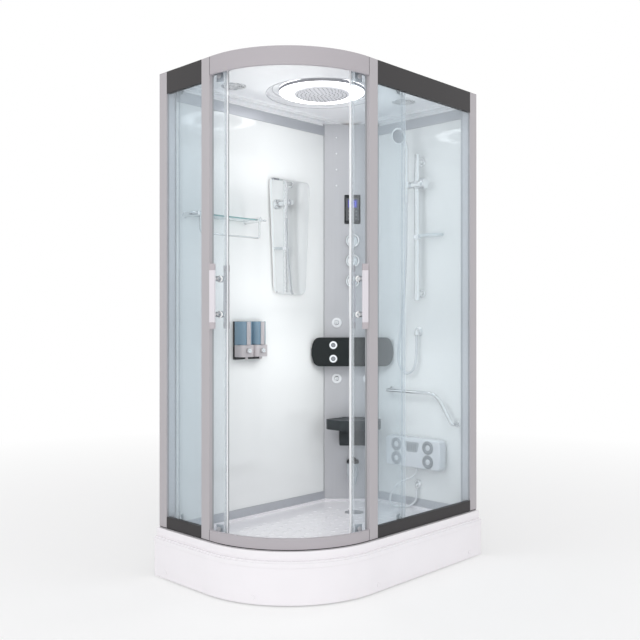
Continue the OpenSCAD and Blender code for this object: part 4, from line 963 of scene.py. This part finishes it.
# Control panel: black glass with a grey display and lit figures
PANEL_Z = 1601.5
FIGURES_Z = 1629
MARKS_Z = 1584
bezel = plate("panel_bezel", box_outline(79, 143, 4), 5)
edit(bezel, lambda c, n: n.z > 0.9, inset(3.5), push(0, 0, -0.5))
soften(bezel, 0.8)
fit(set_in(bezel, face(0, PANEL_Z)), black_gloss, "cabin", "panel_black", "control_panel")
panel_box = block("panel_box", (-33.5, -26, -65), (33.5, 0, 65))
fit(set_in(panel_box, on_column(0, PANEL_Z) @ turn(180, "Z")), feet_plastic, "cabin", "panel_black")
moulded("panel_display", box_outline(64, 112, 2), 0.9, 0.3, face(0, PANEL_Z) @ move(0, 0, 4.3), display_grey,
        "cabin", "panel_black")
moulded("display_window", box_outline(46, 40, 3), 0.35, 0.1, face(0, FIGURES_Z) @ move(1, 0, 4.95),
        window_light, "cabin", "panel_black")

# Bars of a lit figure: place across and up, width and height
SEGMENTS = {"top": (0, 12, 11, 3), "middle": (0, 0, 11, 3), "foot": (0, -12, 11, 3),
            "high_left": (-6, 6, 3, 10), "high_right": (6, 6, 3, 10),
            "low_left": (-6, -6, 3, 10), "low_right": (6, -6, 3, 10)}
THREE = ("top", "middle", "foot", "high_right", "low_right")
EIGHT = tuple(SEGMENTS)
bars = []
for figure, across in ((THREE, -13), (EIGHT, 10)):
    for part in figure:
        x, y, wide, high = SEGMENTS[part]
        bar = plate("display_figures", box_outline(wide, high, 0.8, 2), 0.5)
        bars.append(set_in(bar, face(0, FIGURES_Z) @ move(across + x, y, 5.1)))
fit(joined("display_figures", bars), blue_light, "cabin", "panel_black")
marks = [set_in(plate("display_marks", box_outline(5, 5, 1.5, 3), 0.3), face(0, MARKS_Z) @ move(x, y, 5.1))
         for x in (-18, 0, 18) for y in (8, -10, -28)]
fit(joined("display_marks", marks), mark_grey, "cabin", "panel_black")

# Backrest: a moulded foam board on a block, its ends slanting with the walls
board = plate("backrest_pad", rounded([(-186, -70.5), (186, -70.5), (200, -16), (200, 16), (186, 70.5),
                                       (-186, 70.5), (-200, 16), (-200, -16)],
                                      [34, 34, 30, 30, 34, 34, 30, 30], 6), 28)
edit(board, lambda c, n: n.z < -0.9, grow(174 / 200, 0.97, 1))
edit(board, lambda c, n: n.z > 0.9, inset(9), push(0, 0, 1.6), inset(14), push(0, 0, 0.4))
soften(board, 3.5, 4, 30)
fit(set_in(board, face(0, REST_Z) @ move(-4, 0, 46)), foam, "cabin", "cushion_dark", "backrest")
moulded("backrest_block", box_outline(180, 88, 8), 46, 1.5, face(0, REST_Z), foam, "cabin", "cushion_dark")

# Seat: a moulded shell with a shallow dish, hinged in its bracket
seat_side = [(55, -56), (89.8, -56), (132, -104.5), (126, -121.6), (66, -178.6), (33, -190)]
seat_corners = [(-55, -16), (55, -16)] + seat_side + [(-x, y) for x, y in seat_side[::-1]]
seat_radii = [0, 0, 6, 5, 5, 16, 16, 16, 16, 5, 5, 6, 0, 0]
seat_outline = rounded(seat_corners[::-1], seat_radii[::-1], 4)
seat = plate("seat_shell", seat_outline, 48.5)
edit(seat, lambda c, n: n.z > 0.9, inset(2), grow(0.93, 0.93, 1), push(0, 0, -1),
     (bpy.ops.mesh.extrude_region_move, {}), grow(0.9, 0.9, 1), push(0, 0, -2.5))
soften(seat, 2, 3, 40)
fit(set_in(seat, on_column(0, 531.3)), seat_plastic, "seat", "seat_dark", "seat")
bracket = [soften(block("seat_block", (-66, -69, 446), (66, 0, 528)), 2)]
for side in (-1, 1):
    ear = sorted((57 * side, 66 * side))
    bracket.append(soften(block("seat_block", (ear[0], -40, 526), (ear[1], 0, 575.5)), 1.5))
    bracket.append(block("seat_block", (side * 40 - 10, -67, 527), (side * 40 + 10, -53, 530.6)))
pin = set_in(turned("seat_block", [(6, -66), (6, 66)], 24), move(0, -24, 559.5) @ turn(90, "Y"))
bracket.append(smooth(pin))
bracket = set_in(joined("seat_block", bracket), on_column(0, 0))
fit(bracket, seat_plastic, "cabin", "seat_dark", "seat_bracket")

# Steam outlet: a black cap on its stem over a clear cup
cap = soften(turned("steam_cap", [(29.4, 0), (30, 1.5), (30, 12), (27, 16), (17, 18)], 40), 0.5)
set_in(cap, on_column(0, 355) @ move(0, -33, 0))
stem = soften(turned("steam_cap", [(20, 0.2), (20, 9), (17, 12), (14, 12)], 32), 0.5)
set_in(stem, face(0, 362))
neck = soften(block("steam_cap", (-14, -29, 355), (14, -2, 371)), 1.5)
set_in(neck, on_column(0, 0))
fit(joined("steam_cap", [cap, stem, neck]), black_plastic, "cabin", "steam_parts", "steam_outlet")
cup = smooth(ring("steam_cup", [(0.2, 0), (13, 0), (15, 1.2), (28, 50), (28, 105), (25.4, 105), (25.4, 50.5),
                                (12.4, 4), (0.2, 4)], 40), 40)
fit(set_in(cup, on_column(0, 250) @ move(0, -33, 0)), cup_plastic, "cabin", "steam_parts")


# Ceiling

# Places of the lamp with the rain disc, the fan and the speaker
LAMP = move(-10, 8, 0)
FAN = move(334, -166, 0)
SPEAKER = move(-353, 188, 0)
diffuser = smooth(ring("lamp_ring", [(128.5, 2047), (128.5, 2034), (130.5, 2032), (180, 2032), (183.6, 2035),
                                     (183.6, 2047)], 96), 30)
fit(set_in(diffuser, LAMP), lamp_glow, "cabin", "lamp_plastic", "ceiling_lamp")
# A grey ring round the diffuser: partly its trim, partly painted shade for the dark outline round the lamp
trim_and_shade_ring = smooth(ring("lamp_trim_and_shade", [(184, 2046), (184, 2034), (184.8, 2033), (186, 2034), (186, 2046)], 96), 30)
fit(set_in(trim_and_shade_ring, LAMP), trim_and_shade_grey, "cabin", "lamp_plastic")
beads = [smooth(ring("recess_beads", [(r, z), (r + 0.8, z - 1.4), (r + 2.4, z - 1.4), (r + 3.2, z)], 96), 40)
         for r, z in ((239, 2030.2), (212, 2047.6))]
fit(set_in(joined("recess_beads", beads), LAMP), ring_plastic, "cabin", "roof_plastic")
spray = smooth(turned("rain_disc", [(114, 2024.6), (117.4, 2025.4), (120, 2027.5), (120, 2031.5), (118, 2033),
                                    (90, 2033.6), (20, 2046), (12, 2046.4), (12, 2078)], 72), 30)
fit(set_in(spray, LAMP), rain_grey, "cabin", "fitting_chrome", "rain_head")


def spray_places(disc, height, circles, stagger):
    """Places of the nozzles under a spray disc, on circles given by radius and count."""
    places = []
    for radius, count in circles:
        for k in range(count):
            a = 2 * math.pi * (k + stagger * (count % 12 == 0)) / count
            places.append(disc @ move(radius * math.cos(a), radius * math.sin(a), height) @ turn(180, "X"))
    return places


RAIN_CIRCLES = ((0, 1), (18, 6), (36, 12), (54, 18), (72, 24), (90, 30), (106, 36))
placed("rain_nozzles", dome("rain_nozzles", 2.9, 1.6, 8), spray_places(LAMP, 2024.8, RAIN_CIRCLES, 0.5),
       nozzle_grey)

for name, place in (("fan_ring", FAN), ("speaker_ring", SPEAKER)):
    rim = smooth(ring(name, [(43, 2030), (42, 2028.4), (43.4, 2027.2), (50.4, 2027), (52, 2028.4),
                             (52, 2030)], 64), 30)
    stands_for = ("ceiling_rings",) if name == "fan_ring" else ()
    fit(set_in(rim, place), chrome, "cabin", "ring_grey", *stands_for)
    # A black ring in the open gap inside the rim: painted shade for the dark gap
    gap_shade_ring = ring(name + "_gap_shade", [(40.9, 2031.6), (40.9, 2028.8), (43.1, 2028.8), (43.1, 2031.6)], 64)
    fit(set_in(gap_shade_ring, place), black_plastic, "cabin", "ring_grey")
    grille = [ring(name, [(r, 2032), (r, 2029), (r + 3.2, 2029), (r + 3.2, 2032)], 48)
              for r in (8, 18, 28, 37.5)]
    for angle in (0, 60, 120):
        spoke = block(name, (-43, -1.6, 2029.6), (43, 1.6, 2032))
        grille.append(set_in(spoke, turn(angle, "Z")))
    fit(set_in(smooth(joined(name + "_grille", grille), 30), place), roof_plastic, "cabin", "ring_grey")
duct = smooth(ring("vent_duct", [(46.2, 2034), (49, 2034), (49, 2120), (46.2, 2120)], 64), 30)
fit(set_in(duct, FAN), ring_plastic, "cabin", "ring_grey")
cup = smooth(turned("speaker_cup", [(46, 2036), (49, 2036), (49, 2066), (46, 2068)], 48), 30)
fit(set_in(cup, SPEAKER), ring_plastic, "cabin", "ring_grey")
mount = [turned("fan_mount", [(16, 2080), (16, 2100)], 32)]
for angle in (0, 90):
    mount.append(set_in(block("fan_mount", (-47, -3, 2084), (47, 3, 2094)), turn(angle, "Z")))
fit(set_in(smooth(joined("fan_mount", mount)), FAN), feet_plastic, "cabin", "ring_grey")


# Long wall: mirror, shelf, soap

mirror_outline = rounded([(-101.4, 0), (101.4, 0), (130, 538), (-130, 538)], [34, 34, 24, 24], 8)
glass = plate("mirror_glass_plate", mirror_outline, 5)
edit(glass, lambda c, n: n.z > 0.9, inset(9, 0), push(0, 0, 0.9))
smooth(glass, 5)
fit(set_in(glass, long_wall(126, 1176) @ move(0, 0, 8)), mirror_silver, "cabin", "mirror_glass",
    "wall_mirror")
pads = [block("mirror_pads", (76, LONG_WALL_Y - 8, z - 20), (176, LONG_WALL_Y, z + 20)) for z in (1296, 1594)]
fit(joined("mirror_pads", pads), feet_plastic, "cabin", "mirror_glass")

# Shelf: a glass sheet on two clips, each with a pin, and a wire rail below it
SHELF = (-472, -147)
SHELF_Z = 1494
CLIP_Z = SHELF_Z + 3
sheet_outline = rounded([(-468, 268), (-151, 268), (-151, 356), (-468, 356)], [8, 8, 1, 1], 5)
sheet = plate("shelf_plate", sheet_outline, 6)
fit(set_in(soften(sheet, 0.6), move(0, 0, SHELF_Z)), shelf_pane, "cabin", "shelf_clear", "shelf_glass")
rails = []
for x, side in zip(SHELF, (-1, 1)):
    clip = turned("shelf_wire", [(9, 0), (11, 1.2), (11, 102), (13.6, 103), (13.6, 106)], 28)
    rails.append(smooth(set_in(clip, move(x + side * 4.6, 254, CLIP_Z) @ turn(-90, "X"))))
    pin = turned("shelf_wire", [(4.4, 0), (5, 0.8), (5, 30), (4, 31)], 20)
    rails.append(smooth(set_in(pin, move(x + side * 11, 262, CLIP_Z) @ turn(side * 90, "Y"))))
wire_top, wire_foot = SHELF_Z - 2, SHELF_Z - 78
way = eased([(SHELF[0], 258, wire_top), (SHELF[0], 258, wire_foot), (SHELF[1], 258, wire_foot),
             (SHELF[1], 258, wire_top)], 16)
rails.append(smooth(bend("shelf_wire", way, 4, 12)))
fit(joined("shelf_wire", rails), chrome, "cabin", "chrome_trim", "shelf_rail")

# Soap: a black back plate, two tanks with a strip each, and two bases with a bore for the button and a spout
SOAP_X = {"left": -173, "right": -91}
BUTTON_Z = 920
moulded("soap_back", box_outline(164, 170, 4), 12, 1.2, long_wall(-132, 965), black_gloss,
        "cabin", "soap_parts", "soap_dispenser")
TANK_R = 40.8
half_round = [(TANK_R * math.sin(math.radians(a)), -TANK_R * math.cos(math.radians(a)))
              for a in range(-90, 91, 9)]
tanks, strips, bases = [], [], []
for x in SOAP_X.values():
    tank = soften(plate("soap_tanks", half_round + [(TANK_R, 8), (-TANK_R, 8)], 104), 1.5)
    tanks.append(set_in(tank, move(x, 340, 945.5)))
    strip = plate("soap_strips", box_outline(22, 104, 3), 3.4)
    edit(strip, lambda c, n: n.z > 0.9, inset(4), push(0, 0, 0.5))
    strips.append(set_in(soften(strip, 0.6), long_wall(x, 996.5) @ move(0, 0, 59.4)))
    front = rounded([(-40, -38), (40, -38), (40, 8), (-40, 8)], [16, 16, 1, 1], 6)
    base = soften(plate("soap_bases", front, 53), 2)
    set_in(base, move(x, 340, 892))
    bore = turned("bore", [(11.6, 0), (11.6, 20)], 32)
    bases.append(bored(base, set_in(bore, move(x, 318, BUTTON_Z) @ INTO_CABIN)))
    spout = turned("soap_bases", [(4, 0), (6, 0.8), (6, 12.6)], 24)
    bases.append(smooth(set_in(spout, move(x, 314, 880))))
fit(joined("soap_tanks", tanks), tank_plastic, "cabin", "soap_parts")
fit(joined("soap_strips", strips), soap_silver, "cabin", "soap_parts")
fit(joined("soap_bases", bases), soap_silver, "cabin", "soap_parts")
for side, x in SOAP_X.items():
    name = "soap_button_" + side
    cap = turned(name + "_cap", [(10, 0), (11, 0.6), (11, 18), (10, 19.6), (7, 20), (5.6, 19.4)], 32)
    smooth(cap, 30)
    fit(set_in(cap, move(x, 309.4, BUTTON_Z) @ INTO_CABIN), soft_chrome, name, "knob_plastic", name)


# Short wall: rail, shower, grab rail, foot unit

# Places of the riser bar and of the hand shower in its slider, and the foot unit's own place
BAR = (520, -100)
HAND = (488, -61)
DISH_Z = 1444
SLIDE_Z = 1687
UNIT = short_wall(UNIT_Y, UNIT_Z)

bar = [smooth(turned("shower_bar", [(10, 1146), (13, 1148), (13, 1830), (10, 1832)], 32))]
set_in(bar[0], move(*BAR, 0))
for z in (1180, 1798):
    post = turned("shower_bar", [(19, 0.2), (19, 3), (17, 5), (11, 5.6), (10, 8), (10, 38)], 32)
    bar.append(smooth(set_in(post, short_wall(BAR[1], z))))
fit(joined("shower_bar", bar), chrome, "cabin", "chrome_trim", "shower_rail")
collar = ring("soap_dish_clamp", [(13.1, -9), (17, -9), (18, -7.6), (18, 7.6), (17, 9), (13.1, 9)], 40)
fit(set_in(smooth(collar, 35), move(*BAR, DISH_Z)), fitting_white, "cabin", "chrome_trim")
oval = [(37 * math.cos(math.radians(a)), 67 * math.sin(math.radians(a))) for a in range(0, 360, 10)]
dish = plate("soap_dish", oval, 11)
edit(dish, lambda c, n: n.z > 0.9, inset(4), push(0, 0, -8))
arm = block("soap_dish", (-8, -26, -2), (8, -17.5, 3))
set_in(dish, move(-6, -83, -3))
dish = joined("soap_dish", [soften(dish, 0.8), soften(arm, 0.6)])
fit(set_in(dish, move(*BAR, DISH_Z)), dish_pane, "cabin", "shelf_clear")

arm = turned("slider_arm", [(12, 0), (15, 2), (15, 97), (12, 99)], 32)
set_in(arm, move(506, -35, SLIDE_Z) @ INTO_CABIN)
clamp = ring("slider_arm", [(13.1, -17), (20, -17), (21, -15.6), (21, 15.6), (20, 17), (13.1, 17)], 40)
set_in(clamp, move(*BAR, SLIDE_Z))
grip = turned("slider_arm", [(20, 0), (25, 1), (27, 4), (27, 24), (24, 27.4), (16, 28)], 40)
edit(grip, lambda c, n: 5 < c.z < 23 and in_flute(c, 45, 18), grow(0.94, 0.94, 1))
set_in(grip, move(506, -134, SLIDE_Z) @ INTO_CABIN)
holder = ring("slider_arm", [(11.5, -16), (16, -16), (17, -14.6), (17, 14.6), (16, 16), (11.5, 16)], 40)
set_in(holder, move(*HAND, SLIDE_Z))
hand_bore = set_in(turned("bore", [(11.5, -40), (11.5, 40)], 40), move(*HAND, SLIDE_Z))
rail_bore = set_in(turned("bore", [(13.1, -40), (13.1, 40)], 40), move(*BAR, SLIDE_Z))
arm = bored(bored(arm, hand_bore), rail_bore)
for piece in (arm, clamp, grip, holder):
    smooth(piece, 35)
fit(joined("slider_arm", [arm, clamp, grip, holder]), soft_chrome, "rail_slider", "fitting_chrome",
    "rail_slider")

handle = smooth(turned("hand_shower_grip", [
    (8.4, 1600.4), (9.5, 1602), (9.5, 1660), (10.6, 1666), (11, 1680), (11, 1700), (10.2, 1730), (9.6, 1780),
    (10.4, 1830), (11, 1856)], 32))
set_in(handle, move(*HAND, 0))
sleeve_bore = set_in(turned("bore", [(6.5, 1590), (6.5, 1650)], 32), move(*HAND, 0))
bored(handle, sleeve_bore)
way = eased([(*HAND, 1846), (*HAND, 1872), (446, HAND[1], 1913)], [0, 22, 0])
neck = smooth(bend("hand_shower_grip", way, 10.8, 20))
HEAD = move(432, HAND[1], 1908) @ turn(70, "Y")
shell_profile = [(33, -3.6), (37.6, -3), (39, -1), (39, 4), (36, 8), (26, 14.4), (16, 19)]
shell = set_in(smooth(turned("hand_shower_grip", shell_profile, 56), 30), HEAD)
fit(joined("hand_shower_grip", [handle, neck, shell]), soft_chrome, "hand_shower", "fitting_chrome",
    "hand_shower")
plate_face = smooth(turned("hand_shower_face", [(31, -4.4), (32.4, -3.2), (31, -2)], 48), 30)
fit(set_in(plate_face, HEAD), spray_grey, "hand_shower", "fitting_chrome")
HEAD_CIRCLES = ((0, 1), (9, 6), (18, 12), (27, 18))
placed("hand_shower_nozzles", dome("hand_shower_nozzles", 1.6, 1.2, 8),
       spray_places(HEAD, -4.2, HEAD_CIRCLES, 0), nozzle_grey, body="hand_shower")

# The grab rail slants down along the wall between its two ends
RAIL_HIGH = (82, 718)
RAIL_LOW = (-300, 584)
RAIL_OUT = 516
way = eased([(558, *RAIL_HIGH), (RAIL_OUT, *RAIL_HIGH), (RAIL_OUT, -192, 718), (RAIL_OUT, -232, 691),
             (RAIL_OUT, *RAIL_LOW), (558, *RAIL_LOW)], [0, 14, 24, 24, 14, 0])
rail = [smooth(bend("grab_bar", way, 8, 20))]
for y, z in (RAIL_HIGH, RAIL_LOW):
    flange = turned("grab_bar", [(14, 0.2), (14, 2.6), (12, 4.6), (9, 5.2), (8.4, 8)], 36)
    rail.append(smooth(set_in(flange, short_wall(y, z))))
fit(joined("grab_bar", rail), chrome, "cabin", "chrome_trim", "grab_rail")

shell = plate("foot_unit_shell", box_outline(322, 142, 20), 50)
edit(shell, lambda c, n: n.z > 0.9, grow(0.985, 0.97, 1))
soften(shell, 7, 5, 25)
fit(set_in(shell, UNIT @ move(0, 0, 4)), unit_plastic, "foot_massager", "acrylic", "foot_massager")
tread = smooth(ring("foot_unit_rollers", [(13, 0), (31, 0), (31, 1.6), (28.4, 4.2), (22, 5), (16, 4),
                                          (13, 1.6)], 36), 40)
boss = smooth(turned("foot_unit_hubs", [(11, 0), (11, 1.4), (8.4, 2.6), (3, 3)], 28), 40)
spots = [UNIT @ move(side * 92, row * 32.5, 53) for side in (-1, 1) for row in (-1, 1)]
placed("foot_unit_rollers", tread, spots, grey_plastic, body="foot_massager", slot="acrylic")
placed("foot_unit_hubs", boss, spots, unit_plastic, body="foot_massager", slot="acrylic")
window = rounded([(-32, -24), (32, -24), (42, 24), (-42, 24)], [12, 12, 5, 5], 6)
moulded("foot_unit_window", window, 3, 1, UNIT @ move(0, 28, 52), window_grey, "foot_massager", "acrylic")
slats = [soften(plate("foot_unit_slats", box_outline(4, 34, 2, 3), 2), 0.5) for _ in range(5)]
for k, slat in enumerate(slats):
    set_in(slat, UNIT @ move(-22 + 11 * k, 28, 54.4))
fit(joined("foot_unit_slats", slats), grey_plastic, "foot_massager", "acrylic")


# Frame details

# Heights of the panes between their rails, and of the strips on the doors' edges
PANE_LOW = 246
PANE_HIGH = 2004
STRIP_LOW = 218
STRIP_HIGH = 2025

# Dark lines where the straight rails meet the entry posts
for name, low, high in (("header_seam", 2006, 2075), ("sill_seam", 204, 244)):
    for line in (block(name + "_left", (-574.5, 68.2, low), (-573, 69.6, high)),
                 block(name + "_right", (-142.2, -374.5, low), (-140.8, -373, high))):
        fit(line, black_rubber, "cabin", "gasket_rubber")

# Magnet strips on the doors' front edges, from an inner to an outer radius
for body, part, swing, inner, outer, finish in (
        ("left_door", "_lip", LEFT_DOOR, 365.8, 372.2, lip_grey),
        ("left_door", "_strip", LEFT_DOOR, 372.2, 378.2, fitting_white),
        ("right_door", "_strip", RIGHT_DOOR, 365.8, 378.2, fitting_white)):
    strip = block(body + part, (inner, -4, STRIP_LOW), (outer, -0.35, STRIP_HIGH))
    fit(set_in(strip, swing @ on_door(MEETING, 0)), finish, body, "door_seal")

# Grey strips between the entry posts and the panes, painted shade for the shaded gaps there, and pale liners
# inside the wall posts
beads = [block("post_gap_shade_strips", (-560, 68.9, PANE_LOW), (-553.4, 70.4, PANE_HIGH)),
         block("post_gap_shade_strips", (-143.4, -360, PANE_LOW), (-140.4, -353.4, PANE_HIGH))]
fit(joined("post_gap_shade_strips", beads), gap_shade_grey, "cabin", "gasket_rubber")
liners = [block("post_liners", (-562.4, 349.2, PANE_LOW), (-534.4, 350.3, PANE_HIGH)),
          block("post_liners", (549.2, -362.4, PANE_LOW), (550.3, -334.4, PANE_HIGH))]
fit(joined("post_liners", liners), liner_alloy, "cabin", "gasket_rubber")

# Screw caps of the apron: place and direction, the second one on its curve
APRON_R = 451
CAP_Z = 30
CURVE_CAP = 27.25
curve_turn = math.radians(CURVE_CAP)
CAPS = ((-600, 325, 0),
        (CORNER[0] - APRON_R * math.cos(curve_turn), CORNER[1] - APRON_R * math.sin(curve_turn), CURVE_CAP),
        (-115, -400, 90), (508, -400, 90))
caps = []
for x, y, direction in CAPS:
    cap = turned("apron_caps", [(8.4, 2.4), (8, 0.6), (5.6, 0.1), (1.2, 0.9)], 28)
    caps.append(smooth(set_in(cap, move(x, y, CAP_Z) @ turn(direction, "Z") @ turn(90, "Y")), 40))
fit(joined("apron_caps", caps), acrylic, "cabin", "acrylic")


# Light, floor and world

def lamp(name, place, aim, size, watts):
    """A round lamp that the camera and the plated pieces don't see."""
    data = bpy.data.lights.new(name, "AREA")
    data.shape = "DISK"
    data.size = size
    data.energy = watts
    piece = bpy.data.objects.new(name, data)
    piece.location = place
    piece.rotation_euler = (Vector(aim) - Vector(place)).to_track_quat("-Z", "Y").to_euler()
    piece.visible_camera = piece.visible_glossy = False
    bpy.context.scene.collection.objects.link(piece)


lamp("front_light", (-3.6, -3.4, 3.4), (0, 0, 1.0), 3.0, 60)
lamp("left_light", (-4.2, 0.6, 1.8), (0, 0, 1.0), 2.4, 22)
lamp("right_light", (0.8, -4.2, 1.8), (0, 0, 1.0), 2.4, 18)
lamp("upper_light", (-0.05, 0, 1.0), (-0.05, 0, 2.2), 0.35, 1.3)
lamp("lower_light", (0.05, -0.02, 1.1), (0.05, -0.02, 0.1), 0.35, 1.5)
lamp("ceiling_light", (-0.05, 0, 1.6), (-0.05, 0, 2.2), 0.4, 0.8)

# The world is a plain grey to the object, and white to the camera, glass and metal
ROOM_GREY = (0.66, 0.66, 0.67, 1)
WHITE = (1, 1, 1, 1)
world = bpy.data.worlds.new("studio")
bpy.context.scene.world = world
world.use_nodes = True
sky = Tree(world.node_tree)
path = sky.add("ShaderNodeLightPath")
seen = path.most(sky.other(path, "Is Glossy Ray")).most(sky.other(path, "Is Transmission Ray"))
base = world.node_tree.nodes["Background"]
sky.join(sky.between(seen, ROOM_GREY, WHITE), base.inputs["Color"])

# The floor lies just under the feet, and turns white away from the object
GROUND_R = 9
GROUND_DROP = 0.002
let_go()
bpy.ops.mesh.primitive_circle_add(vertices=96, radius=GROUND_R, fill_type="NGON",
                                  location=(0, 0, -GROUND_DROP))
floor = added("floor")
ground = Finish("pale_floor", Base_Color=rgb(250, 250, 250), Roughness=0.9)
away = ground.add("ShaderNodeVectorMath", {"operation": "LENGTH"}, {0: ground.place()}, out="Value")
far = ground.ramp(away * 0.2, (0.2, 0.45), (0.9, 1.0))
ray = ground.add("ShaderNodeLightPath")
white = ground.add("ShaderNodeEmission", None, {"Color": WHITE, "Strength": 1.0})
both = ground.add("ShaderNodeMixShader", None, {0: far * ray, 2: white})
ground.tree.links.new(ground.shader.outputs[0], both.socket.node.inputs[1])
ground.tree.links.new(both.socket, ground.tree.nodes["Material Output"].inputs["Surface"])
paint(floor, ground)

bpy.context.scene.view_settings.view_transform = "Standard"
